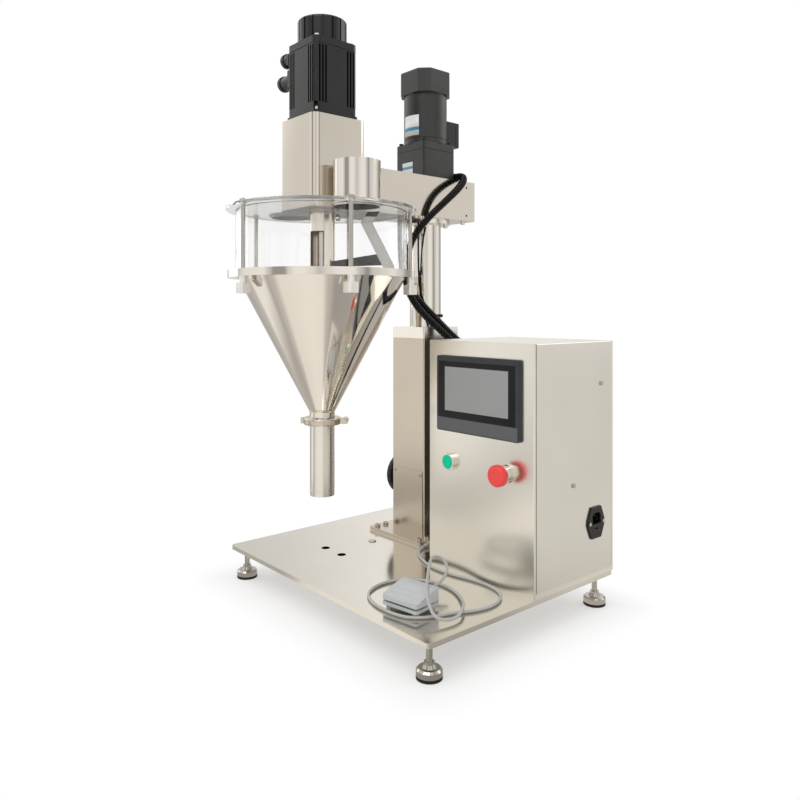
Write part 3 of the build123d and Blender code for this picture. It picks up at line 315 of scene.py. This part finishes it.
# Finishes of bare metal: stretch of the grain, spread of the gloss, depth of the grain and change of tone
BRUSHED_UP = dict(grain=(2600, 2600, 40), vary=0.015, lines=0.004, streak=0.02)
BRUSHED_ALONG = {**BRUSHED_UP, "grain": (40, 2600, 2600)}
BRUSHED_UNEVEN = {**BRUSHED_UP, "streak": 0.03}
MIRROR = dict(grain=(60, 60, 60), vary=0.02, lines=0.0, streak=0.03)
MATT = dict(grain=(900, 900, 900), vary=0.05, lines=0.03, streak=0.04)
TURNED = {**MATT, "lines": 0.02}
BLASTED = {**MATT, "grain": (1500, 1500, 1500), "lines": 0.05}
METALS = {
    "base_steel": ((0.76, 0.73, 0.665), 0.14, BRUSHED_ALONG),
    "polished_steel": ((0.76, 0.725, 0.67), 0.07, MIRROR),
    "cone_steel": ((0.79, 0.745, 0.685), 0.07, MIRROR),
    # column_steel is the stainless steel painted darker: painted shade from the hopper in front of the column
    "column_steel": ((0.60, 0.538, 0.458), 0.22, BRUSHED_UNEVEN),
    "head_steel": ((0.69, 0.645, 0.572), 0.12, BRUSHED_UP),
    # cabinet_steel and cover_steel are lit and shaded copies of one steel: painted light on the cabinet,
    # painted shade on its cover
    "cabinet_steel": ((0.84, 0.815, 0.75), 0.24, BRUSHED_UP),
    "cover_steel": ((0.76, 0.737, 0.675), 0.24, BRUSHED_UP),
    # cap_steel is the steel painted lighter: painted light on the cap's top
    "cap_steel": ((0.92, 0.885, 0.82), 0.20, BRUSHED_UP),
    # sleeve_steel is the polished steel painted tan: painted dark reflection on the sleeve
    "sleeve_steel": ((0.74, 0.675, 0.585), 0.16, MIRROR),
    # foot_steel, rod_steel and scraper_steel are the polished steel painted darker: painted dark reflections
    "foot_steel": ((0.52, 0.495, 0.45), 0.10, MIRROR),
    "rod_steel": ((0.50, 0.475, 0.435), 0.14, MIRROR),
    "scraper_steel": ((0.42, 0.40, 0.375), 0.05, MIRROR),
    "steel": ((0.56, 0.53, 0.49), 0.22, TURNED),
    "pale_metal": ((0.90, 0.89, 0.86), 0.38, BLASTED),
    "aluminium": ((0.70, 0.70, 0.71), 0.3, MATT),
    "dark_steel": ((0.045, 0.043, 0.042), 0.36, MATT),
}
COATS = {
    "motor_black": dict(color=(0.034, 0.034, 0.0335), rough=0.36, grain=1400.0, relief=0.08, sheen=0.42),
    "servo_black": dict(color=(0.006, 0.006, 0.0065), rough=0.26, grain=1400.0, relief=0.02, sheen=0.48),
    "black_plastic": dict(color=(0.010, 0.010, 0.0105), rough=0.38, grain=1200.0, relief=0.08, sheen=0.35),
    "conduit_black": dict(color=(0.003, 0.003, 0.0033), rough=0.20, grain=500.0, relief=0.02, sheen=0.2),
    "rubber_black": dict(color=(0.016, 0.016, 0.016), rough=0.68, grain=800.0, relief=0.25),
    "green_plastic": dict(
        color=(0.0, 0.70, 0.38), rough=0.34, grain=600.0, relief=0.03, light=1.06, clear=0.05, sheen=0.15,
    ),
    "red_plastic": dict(
        color=(0.98, 0.068, 0.062), rough=0.36, grain=700.0, relief=0.04, light=1.05, clear=0.1, sheen=0.4,
    ),
    "cable_grey": dict(color=(0.52, 0.52, 0.50), rough=0.38, grain=700.0, relief=0.08, light=1.04),
}
materials = {name: metal(name, color, rough, **finish) for name, (color, rough, finish) in METALS.items()}
materials.update({name: coat(name, **look) for name, look in COATS.items()})
materials["clear_acrylic"] = clear_plastic("clear_acrylic", body=0.0, gloss=1.0)
materials["lid_acrylic"] = clear_plastic("lid_acrylic", body=0.14, gloss=0.5)

# The two open holes in the base plate: spacing and place in millimetres, shaded radius in metres
JIG_PITCH, JIG_BACK, JIG_SHADE = 54.0, 27.0, 0.0086
jig_holes = [at(HOP_X + side * JIG_PITCH / 2, HOP_Y + JIG_BACK, 0) for side in (-1, 1)]
dark_bores(materials["base_steel"], jig_holes, JIG_SHADE)

# The head's screws are blackened from this far in front of the gearhead and above its foot
SCREW_EDGE = 0.02
gear_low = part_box("gearhead")[0]
materials["two_screws"] = two_screws(
    "two_screws", (0.78, 0.76, 0.72), (0.04, 0.04, 0.04), gear_low.y - SCREW_EDGE, gear_low.z + SCREW_EDGE,
)

# Picture on the screen, from its pane's middle, and the paler strip of the bezel below it, in metres
PICTURE_SIDE, PICTURE_DOWN, PICTURE_UP = 0.0760, 0.0385, 0.0415
STRIP_SIDE, STRIP_DOWN, STRIP_UP = 0.004, 0.0022, 0.0006
pane_low, pane_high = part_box("hmi_screen")
pane = (pane_low + pane_high) / 2
materials["screen"] = masked(
    "screen", (0.36, 0.36, 0.36), (0.006, 0.006, 0.007), (pane.x - PICTURE_SIDE, pane.x + PICTURE_SIDE),
    (pane.z - PICTURE_DOWN, pane.z + PICTURE_UP), rough_in=0.34, rough_out=0.16, soft=0.0004,
)
materials["panel_grey"] = masked(
    "panel_grey", (0.125, 0.130, 0.136), (0.045, 0.048, 0.05),
    (pane_low.x - STRIP_SIDE, pane_high.x + STRIP_SIDE),
    (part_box("hmi_bezel")[0].z + STRIP_DOWN, pane_low.z - STRIP_UP),
    rough_in=0.42, rough_out=0.40, soft=0.0005,
)
materials["switch_grey"] = dotted("switch_grey", (0.62, 0.645, 0.655), pips=290)

# Nodes that look different from the rest of their material slot, some by painted light and painted shade
SPECIAL = {
    "agitator_blade": "dark_steel",
    "agitator_scraper": "scraper_steel",
    "agitator_sleeve": "sleeve_steel",
    "column_cap": "cap_steel",
    "control_cover": "cover_steel",
    "head_box": "head_steel",
    "head_screws": "two_screws",
    "hopper_cone": "cone_steel",
    "hopper_lid": "lid_acrylic",
    "levelling_feet": "foot_steel",
    # The steel plug is painted near black: painted shade on its underside
    "lid_port_plug": "dark_steel",
    "panel_screws": "rod_steel",
    "servo_body": "servo_black",
    "servo_connectors": "servo_black",
    "servo_encoder_cap": "servo_black",
    "servo_housing": "head_steel",
    "stop_pin": "dark_steel",
    "tie_rods": "rod_steel",
}
slot_of = {part["node"]: part["material_slot"] for part in frame["record"]["subparts"]}


def dress(obj, material):
    """Gives an object one material."""
    obj.data.materials.clear()
    obj.data.materials.append(material)


for name, obj in nodes.items():
    if obj.type == "MESH":
        dress(obj, materials[SPECIAL.get(name, slot_of[name])])

# Softened edges on the solids that show broad flat faces
for name, width in (
    ("base_plate", 0.0008), ("control_tray", 0.0006), ("control_cover", 0.0006), ("column_post", 0.0007),
    ("column_cap", 0.0007), ("head_box", 0.0008), ("servo_housing", 0.0008), ("gearhead", 0.0010),
    ("servo_body", 0.0007), ("hopper_cone", 0.0008), ("gearmotor_body", 0.0008), ("thumb_nuts", 0.0005),
    ("switch_base", 0.0010), ("switch_pedal", 0.0014), ("power_inlet", 0.0006), ("column_cover", 0.0004),
    ("hopper_lid", 0.0006), ("tube_clamp", 0.0008), ("levelling_feet", 0.0007),
    ("gearmotor_terminal_box", 0.001),
):
    edge = nodes[name].modifiers.new("edge", "BEVEL")
    edge.width = width
    edge.segments = 2
    edge.limit_method = "ANGLE"
    edge.angle_limit = math.radians(40)


# Objects and lines
def new_object(name, data):
    """A new object in the scene."""
    obj = bpy.data.objects.new(name, data)
    scene.collection.objects.link(obj)
    return obj


def mesh_object(name, bm):
    """A new object from a finished bmesh."""
    mesh = bpy.data.meshes.new(name)
    bm.to_mesh(mesh)
    bm.free()
    return new_object(name, mesh)


def add_piece(name, bm, material, smooth):
    """A visible piece, smooth or flat shaded."""
    obj = mesh_object(name, bm)
    for face in obj.data.polygons:
        face.use_smooth = smooth
    dress(obj, material)
    return obj


def smooth_curve(name, points, resolution):
    """Curve data that follows the points smoothly from the first to the last."""
    curve = bpy.data.curves.new(name, "CURVE")
    curve.dimensions = "3D"
    curve.resolution_u = resolution
    spline = curve.splines.new("NURBS")
    spline.points.add(len(points) - 1)
    for control, point in zip(spline.points, points):
        control.co = (*point, 1)
    spline.order_u = 3
    spline.use_endpoint_u = True
    return curve


def spline_points(points):
    """Points along the route's smooth line."""
    curve = smooth_curve("route", points, 24)
    route = new_object("route", curve)
    bpy.context.view_layer.update()
    mesh = bpy.data.meshes.new_from_object(route.evaluated_get(bpy.context.evaluated_depsgraph_get()))
    line = [vertex.co.copy() for vertex in mesh.vertices]
    bpy.data.objects.remove(route)
    bpy.data.meshes.remove(mesh)
    bpy.data.curves.remove(curve)
    return line


def line_length(line):
    """The length along a line of points."""
    return sum((b - a).length for a, b in zip(line, line[1:]))


def even(line, step):
    """The same line with points a fixed distance apart."""
    points = [line[0].copy()]
    need = step
    for a, b in zip(line, line[1:]):
        run = (b - a).length
        done = 0.0
        while run - done >= need:
            done += need
            points.append(a.lerp(b, done / run))
            need = step
        need -= run - done
    if (points[-1] - line[-1]).length > step * 0.3:
        points.append(line[-1].copy())
    return points


# Corrugated conduits: radius, rib depth and rib pitch in metres, each rib's profile, sides of the tube
CONDUIT_R, RIB_DEPTH, RIB_PITCH = 0.0080, 0.0020, 0.0044
RIB_PROFILE = (0.0, 0.35, 1.0, 0.35)
CONDUIT_SIDES = 18


def ribbed_hose(name, route, material):
    """Corrugated tube with closed ends along a route."""
    line = even(spline_points(route), RIB_PITCH / len(RIB_PROFILE))
    bm = bmesh.new()
    rings = []
    side = None
    for i, point in enumerate(line):
        along = (line[min(i + 1, len(line) - 1)] - line[max(i - 1, 0)]).normalized()
        if side is None:
            side = along.orthogonal().normalized()
        side = (side - along * side.dot(along)).normalized()
        up = along.cross(side)
        radius = CONDUIT_R - RIB_DEPTH * RIB_PROFILE[i % len(RIB_PROFILE)]
        ring = []
        for k in range(CONDUIT_SIDES):
            angle = 2 * math.pi * k / CONDUIT_SIDES
            offset = side * (radius * math.cos(angle)) + up * (radius * math.sin(angle))
            ring.append(bm.verts.new(point + offset))
        rings.append(ring)
    for a, b in zip(rings, rings[1:]):
        for k in range(CONDUIT_SIDES):
            j = (k + 1) % CONDUIT_SIDES
            bm.faces.new((a[k], a[j], b[j], b[k]))
    bm.faces.new(rings[0][::-1])
    bm.faces.new(rings[-1])
    return add_piece(name, bm, material, smooth=True), line


# Routes in millimetres: from the gear motor over the head, then down from the head (1) to the glands (0)
MOTOR_GLAND_Y, MOTOR_GLAND_Z = 140, 463
SERVO_GLAND_Y, SERVO_GLAND_Z = 167, 462
GLAND_X = 26
motor_over = [
    (-16, 65, GEAR_TOP + 3), (-16, 65, GEAR_TOP - 25.5), (-1, 63.8, HEAD_TOP + 28),
    (24.4, 60.6, HEAD_TOP + 13.5), (63, 51.5, HEAD_TOP + 10.8), (88.3, 31, HEAD_TOP - 3.5),
    (98.4, 4.8, HEAD_TOP - 25.4), (88.9, -26.4, HEAD_LOW + 30),
]
motor_down = [
    (69.5, -54.6, 0.991), (49.2, -73.6, 0.871), (35.9, -82.4, 0.742), (30, -85.5, 0.606), (32.3, -84.2, 0.46),
    (46, -73, 0.335), (60, -57, 0.243), (76.5, -38, 0.16), (95, -22, 0.076),
]
servo_down = [
    (6, -74, 1.0), (6, -74, 0.875), (6.7, -73.6, 0.733), (10.2, -71.5, 0.593), (20, -65, 0.45),
    (38, -45, 0.335), (58, -27, 0.235), (73, -11, 0.152), (89, 3, 0.076),
]


def down_to(gland_z, points):
    """Points beside the column, with heights as shares of the way from a gland up to the head."""
    return [at(COL_X + x, COL_Y + y, gland_z + share * (HEAD_LOW - gland_z)) for x, y, share in points]


motor_route = [at(COL_X + x, COL_Y + y, z) for x, y, z in motor_over] + down_to(MOTOR_GLAND_Z, motor_down)
motor_route += [at(-10, MOTOR_GLAND_Y, MOTOR_GLAND_Z), at(GLAND_X, MOTOR_GLAND_Y, MOTOR_GLAND_Z)]
servo_route = down_to(SERVO_GLAND_Z, servo_down)
servo_route += [at(-14, SERVO_GLAND_Y, SERVO_GLAND_Z), at(GLAND_X, SERVO_GLAND_Y, SERVO_GLAND_Z)]
for name, route, node in (
    ("conduit_motor_ribbed", motor_route, "conduit_motor"),
    ("conduit_servo_ribbed", servo_route, "conduit_servo"),
):
    hose, line = ribbed_hose(name, route[::-1], materials["conduit_black"])
    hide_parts(node)
    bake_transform(hose)

# Foot switch cable from its gland, in loops round the switch, into its back, heights from the plate's top
# Height of the cable's middle where it lies on the plate
LIE = 2.6
cable = [(26, 118, 28), (4, 118, 28), (-14, 104, 20), (-22, 72, 9), (-21, 42, LIE), (0, 15, LIE)]
loops = [
    (-146, 160, LIE), (-102, 147, LIE), (-56, 150, LIE), (-10, 161, LIE), (36, 161, LIE), (70, 142, LIE),
    (86, 104, LIE), (80, 66, LIE), (62, 32, LIE), (52, -4, LIE), (30, -34, LIE), (-10, -42, LIE),
    (-52, -38, LIE), (-88, -20, LIE), (-106, 14, LIE), (-106, 52, LIE), (-84, 86, LIE), (-44, 104, LIE),
    (0, 100, LIE), (40, 78, LIE + 3), (70, 50, LIE + 8), (88, 16, LIE + 3), (76, -16, 9),
    (52, -10, 24), (28, 8, 39), (4, 34, 48), (-22, 62, 52), (-46, 90, 51), (-46, 112, 46),
    (-26, 110, 36), (-12, 88, 24),
]
cable += [(SWITCH_X + x, SWITCH_Y + y, z) for x, y, z in loops]
for reach in (55.0, 29.5):
    cable.append((SWITCH_X - reach * math.sin(SWITCH_TURN), SWITCH_Y + reach * math.cos(SWITCH_TURN), 15))
cable = [at(x, y, z + PLATE_TOP) for x, y, z in cable]
curve = smooth_curve("foot_cable_round", cable, 16)
curve.bevel_depth = 0.0025
curve.bevel_resolution = 5
curve.use_fill_caps = True
curve.materials.append(materials["cable_grey"])
cord = new_object("foot_cable_round", curve)
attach(cord, "base")
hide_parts("foot_cable")
line_length(spline_points(cable))

# Plain data plates on the gear motor and its gearhead: silver with a coloured band, no words, sizes in metres
PLATE_SINK, PLATE_STEPS = 0.0002, 16
MOTOR_PLATE = dict(radius=0.0470, proud=0.0003, headings=(-112, -60), heights=(0.9185, 0.9620))
MOTOR_BAND = (0.9290, 0.9365)
GEAR_PLATE = (at(-149, 104.5, 838), at(-116, 104.5, 862))
GEAR_PLATE_PROUD, GEAR_PLATE_EDGE = 0.0004, 0.00015
GEAR_BAND = (0.8475, 0.8530)


def curved_plate(centre, radius, proud, headings, heights):
    """Thin plate bent round an upright cylinder, sunk a little into it."""
    bm = bmesh.new()
    start, end = headings
    rows = []
    for reach in (radius - PLATE_SINK, radius + proud):
        row = []
        for i in range(PLATE_STEPS + 1):
            angle = math.radians(start + (end - start) * i / PLATE_STEPS)
            x, y = centre.x + reach * math.cos(angle), centre.y + reach * math.sin(angle)
            row.append([bm.verts.new((x, y, z)) for z in heights])
        rows.append(row)
    inner, outer = rows
    for i in range(PLATE_STEPS):
        j = i + 1
        bm.faces.new((outer[i][0], outer[j][0], outer[j][1], outer[i][1]))
        bm.faces.new((inner[j][0], inner[i][0], inner[i][1], inner[j][1]))
        bm.faces.new((inner[i][0], inner[j][0], outer[j][0], outer[i][0]))
        bm.faces.new((outer[i][1], outer[j][1], inner[j][1], inner[i][1]))
    bm.faces.new((inner[0][0], outer[0][0], outer[0][1], inner[0][1]))
    bm.faces.new((outer[-1][0], inner[-1][0], inner[-1][1], outer[-1][1]))
    bmesh.ops.recalc_face_normals(bm, faces=bm.faces)
    return bm


def flat_plate(low, high, proud, edge):
    """Thin plate with eased edges on a face that looks along -Y, sunk a little into it."""
    low = low - Vector((0, proud, 0))
    high = high + Vector((0, PLATE_SINK, 0))
    bm = bmesh.new()
    bmesh.ops.create_cube(bm, size=1.0)
    for corner in bm.verts:
        corner.co = Vector([low[i] if corner.co[i] < 0 else high[i] for i in range(3)])
    bmesh.ops.bevel(bm, geom=list(bm.edges), offset=edge, segments=2, affect="EDGES", profile=0.5)
    return bm


motor_shape = curved_plate(at(COL_X, COL_Y, 0), **MOTOR_PLATE)
gear_shape = flat_plate(*GEAR_PLATE, GEAR_PLATE_PROUD, GEAR_PLATE_EDGE)
for name, shape, band, smooth in (
    ("motor_plate", motor_shape, MOTOR_BAND, True), ("gearhead_plate", gear_shape, GEAR_BAND, False),
):
    plate = add_piece(name, shape, plate_material(name, *band), smooth)
    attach(plate, "head")

# Tones of the studio in reflections, by heading in degrees: its walls, its near floor and its far floor
WALL_TONES = [
    (-180, 0.55), (-170, 0.80), (-160, 1.0), (-155, 0.30), (-150, 0.80), (-138, 0.95), (-108, 1.0),
    (-100, 0.70), (-93, 0.38), (-80, 0.38), (-74, 0.80), (-66, 1.0), (-56, 1.0), (-46, 0.88),
    (-38, 0.68), (-28, 0.85), (-14, 1.0), (2, 1.0), (12, 0.65), (20, 0.36), (29, 0.74), (44, 0.86),
    (60, 0.98), (74, 0.80), (94, 0.35), (104, 0.40), (116, 0.90), (138, 1.0), (152, 0.75), (180, 0.55),
]
FLOOR_TONES = [
    (-180, 0.60), (-150, 0.54), (-122, 0.52), (-112, 0.64), (-100, 0.95), (-60, 1.0), (-36, 0.98),
    (-24, 0.60), (-12, 0.42), (14, 0.44), (26, 0.60), (36, 0.70), (50, 0.70), (62, 0.56), (90, 0.50),
    (120, 0.60), (180, 0.60),
]
FAR_FLOOR_TONES = [
    (-180, 0.50), (-160, 0.62), (-151, 1.0), (-129, 1.0), (-121, 0.55), (-112, 0.60), (-100, 0.95),
    (-60, 1.0), (-36, 0.98), (-22, 0.75), (14, 0.70), (30, 0.80), (52, 0.80), (64, 0.58), (90, 0.50),
    (120, 0.58), (180, 0.50),
]
# The near floor's tones turn into the far floor's between these distances from the hopper, in metres
FAR_FROM, FAR_TO = 0.6, 1.0
WHITE = (1.0, 1.0, 1.0)
STUDIO_LIGHT = (0.62, 0.62, 0.62)


def room_colour(tree, direction, tones, warmth):
    """The room's tone in a direction, made warmer by taking away green and more blue."""
    heading = axes(tree, direction)
    angle = math_node(tree, "ARCTAN2", heading["Y"], heading["X"])
    ramp = tree.nodes.new("ShaderNodeValToRGB")
    ramp.color_ramp.interpolation = "EASE"
    stops = ramp.color_ramp.elements
    while len(stops) < len(tones):
        stops.new(0.5)
    for stop, (degrees, tone) in zip(stops, tones):
        stop.position = (degrees + 180) / 360
        stop.color = (tone, tone * (1 - warmth), tone * (1 - 2.5 * warmth), 1)
    tree.links.new(spread(tree, angle, 0.0, 1.0, (-math.pi, math.pi)), ramp.inputs["Fac"])
    return ramp.outputs["Color"]


# White to the camera and through the clear hopper, softer as a light, with the room's tones in reflections
world = bpy.data.worlds.new("studio")
scene.world = world
world.use_nodes = True
tree = world.node_tree
rays = tree.nodes.new("ShaderNodeLightPath").outputs
walls = room_colour(tree, tree.nodes.new("ShaderNodeTexCoord").outputs["Generated"], WALL_TONES, warmth=0.02)
soft = blend_colour(tree, rays["Is Glossy Ray"], STUDIO_LIGHT, walls)
seen = math_node(tree, "MAXIMUM", rays["Is Camera Ray"], rays["Is Transmission Ray"])
tree.links.new(blend_colour(tree, seen, soft, WHITE), tree.nodes["Background"].inputs["Color"])

# White left in the floor at the plate's edge, share of it left under the plate, and metres of each fade
# That glow is painted light: it lightens the floor's real shadow at and under the plate
EDGE_WHITE, EDGE_FADE = 0.55, 0.08
UNDER_WHITE, UNDER_FADE = 0.75, 0.06


def floor_material(centre, plate):
    """White floor with a soft shadow near the machine, turning into white background further out."""
    material, tree, shader = new_material("studio_floor")
    grain = noise(tree, coords(tree), scale=3.0, detail=2.0)
    tree.links.new(tint(tree, grain, (0.93, 0.93, 0.93), (0.95, 0.95, 0.95)), shader.inputs["Base Color"])
    shader.inputs["Roughness"].default_value = 0.9
    shader.inputs["Specular IOR Level"].default_value = 0.0
    position = tree.nodes.new("ShaderNodeNewGeometry").outputs["Position"]
    rays = tree.nodes.new("ShaderNodeLightPath").outputs

    # Distance from the plate's outline, outside it and inside it
    place = axes(tree, position)
    outside = []
    inside = []
    for axis, low, high in (("X", plate[0].x, plate[1].x), ("Y", plate[0].y, plate[1].y)):
        half = (high - low) / 2
        off = math_node(tree, "ABSOLUTE", math_node(tree, "SUBTRACT", place[axis], (low + high) / 2))
        over = math_node(tree, "MAXIMUM", math_node(tree, "SUBTRACT", off, half), 0.0)
        outside.append(math_node(tree, "MULTIPLY", over, over))
        inside.append(math_node(tree, "SUBTRACT", half, off))
    gap = math_node(tree, "SQRT", math_node(tree, "ADD", *outside))
    depth = math_node(tree, "MINIMUM", *inside)

    # White as seen, the room's tones in reflections
    away = tree.nodes.new("ShaderNodeVectorMath")
    away.operation = "SUBTRACT"
    away.inputs[1].default_value = centre
    tree.links.new(position, away.inputs[0])
    reach = tree.nodes.new("ShaderNodeVectorMath")
    reach.operation = "LENGTH"
    tree.links.new(away.outputs[0], reach.inputs[0])
    near_floor = room_colour(tree, away.outputs[0], FLOOR_TONES, warmth=0.045)
    far_floor = room_colour(tree, away.outputs[0], FAR_FLOOR_TONES, warmth=0.03)
    distant = spread(tree, reach.outputs["Value"], 0.0, 1.0, (FAR_FROM, FAR_TO))
    mirrored = blend_colour(tree, distant, near_floor, far_floor)
    white = tree.nodes.new("ShaderNodeEmission")
    tree.links.new(blend_colour(tree, rays["Is Glossy Ray"], WHITE, mirrored), white.inputs["Color"])

    # Share of that white: all of it far out and in reflections, none as a light; less near and under the
    # plate, where it is painted light on the real shadow
    under = spread(tree, depth, 1.0, UNDER_WHITE, (0.0, UNDER_FADE))
    shown = math_node(tree, "MULTIPLY", spread(tree, gap, EDGE_WHITE, 1.0, (0.0, EDGE_FADE)), under)
    share = math_node(tree, "MAXIMUM", shown, rays["Is Glossy Ray"])
    unlit = math_node(tree, "SUBTRACT", 1.0, rays["Is Diffuse Ray"])
    blend_shader(tree, math_node(tree, "MULTIPLY", share, unlit), shader.outputs[0], white.outputs[0])
    return material


# The floor is a disc just below the feet, in metres
FLOOR_R, FLOOR_DROP, FLOOR_SIDES = 12.0, 0.0005, 96
bm = bmesh.new()
bmesh.ops.create_circle(bm, cap_ends=True, radius=FLOOR_R, segments=FLOOR_SIDES)
floor = mesh_object("floor", bm)
floor.location.z = -FLOOR_DROP
dress(floor, floor_material(at(HOP_X, HOP_Y, 0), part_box("base_plate")))


def aim(obj, place, target):
    """Puts a light or a card at a place, facing its target."""
    obj.location = place
    obj.rotation_euler = (Vector(target) - Vector(place)).to_track_quat("-Z", "Y").to_euler()


def area(name, place, target, size, power):
    """A soft rectangular light, in metres and watts."""
    data = bpy.data.lights.new(name, "AREA")
    data.shape = "RECTANGLE"
    data.size, data.size_y = size
    data.energy = power
    aim(new_object(name, data), place, target)


area("key", (0.4, -1.3, 2.9), (0, 0, 0.45), (2.2, 2.2), 26)
area("fill", (-2.4, -0.6, 1.5), (0, 0, 0.55), (1.6, 2.0), 9)
area("rim", (0.6, 2.2, 2.0), (0, 0, 0.6), (1.8, 1.4), 9)


def card(name, place, target, size, tone):
    """A card of one tone that shows only in reflections, and only on the side that faces its target: a
    painted reflection.
    """
    bm = bmesh.new()
    bmesh.ops.create_grid(bm, x_segments=1, y_segments=1, size=0.5)
    flag = mesh_object(name, bm)
    flag.scale = (*size, 1)
    aim(flag, place, target)
    material, tree, _ = new_material(name)
    glow = tree.nodes.new("ShaderNodeEmission")
    glow.inputs["Color"].default_value = (tone, tone * 0.9, tone * 0.8, 1)
    clear = tree.nodes.new("ShaderNodeBsdfTransparent")
    backfacing = tree.nodes.new("ShaderNodeNewGeometry").outputs["Backfacing"]
    blend_shader(tree, backfacing, clear.outputs[0], glow.outputs[0])
    dress(flag, material)
    flag.visible_camera = False
    flag.visible_diffuse = False
    flag.visible_transmission = False
    flag.visible_shadow = False


# A dark card behind the cabinet keeps the side of the column next to it dark: a painted reflection of shade
card("flag_back", at(36, 240, 275), at(-75, 240, 275), (0.19, 0.42), 0.03)

# Level camera, solved from the straight edges in the photograph
camera_data = bpy.data.cameras.new("camera")
camera_data.sensor_width = 36.0
camera_data.lens = 32.90
camera_data.shift_y = -0.1122
camera_data.clip_start = 0.05
camera_data.clip_end = 50.0
camera = new_object("camera", camera_data)
camera.location = (1.0639, -0.9128, 0.5418)
camera.rotation_euler = (math.radians(90), 0, math.radians(49.22))
scene.camera = camera
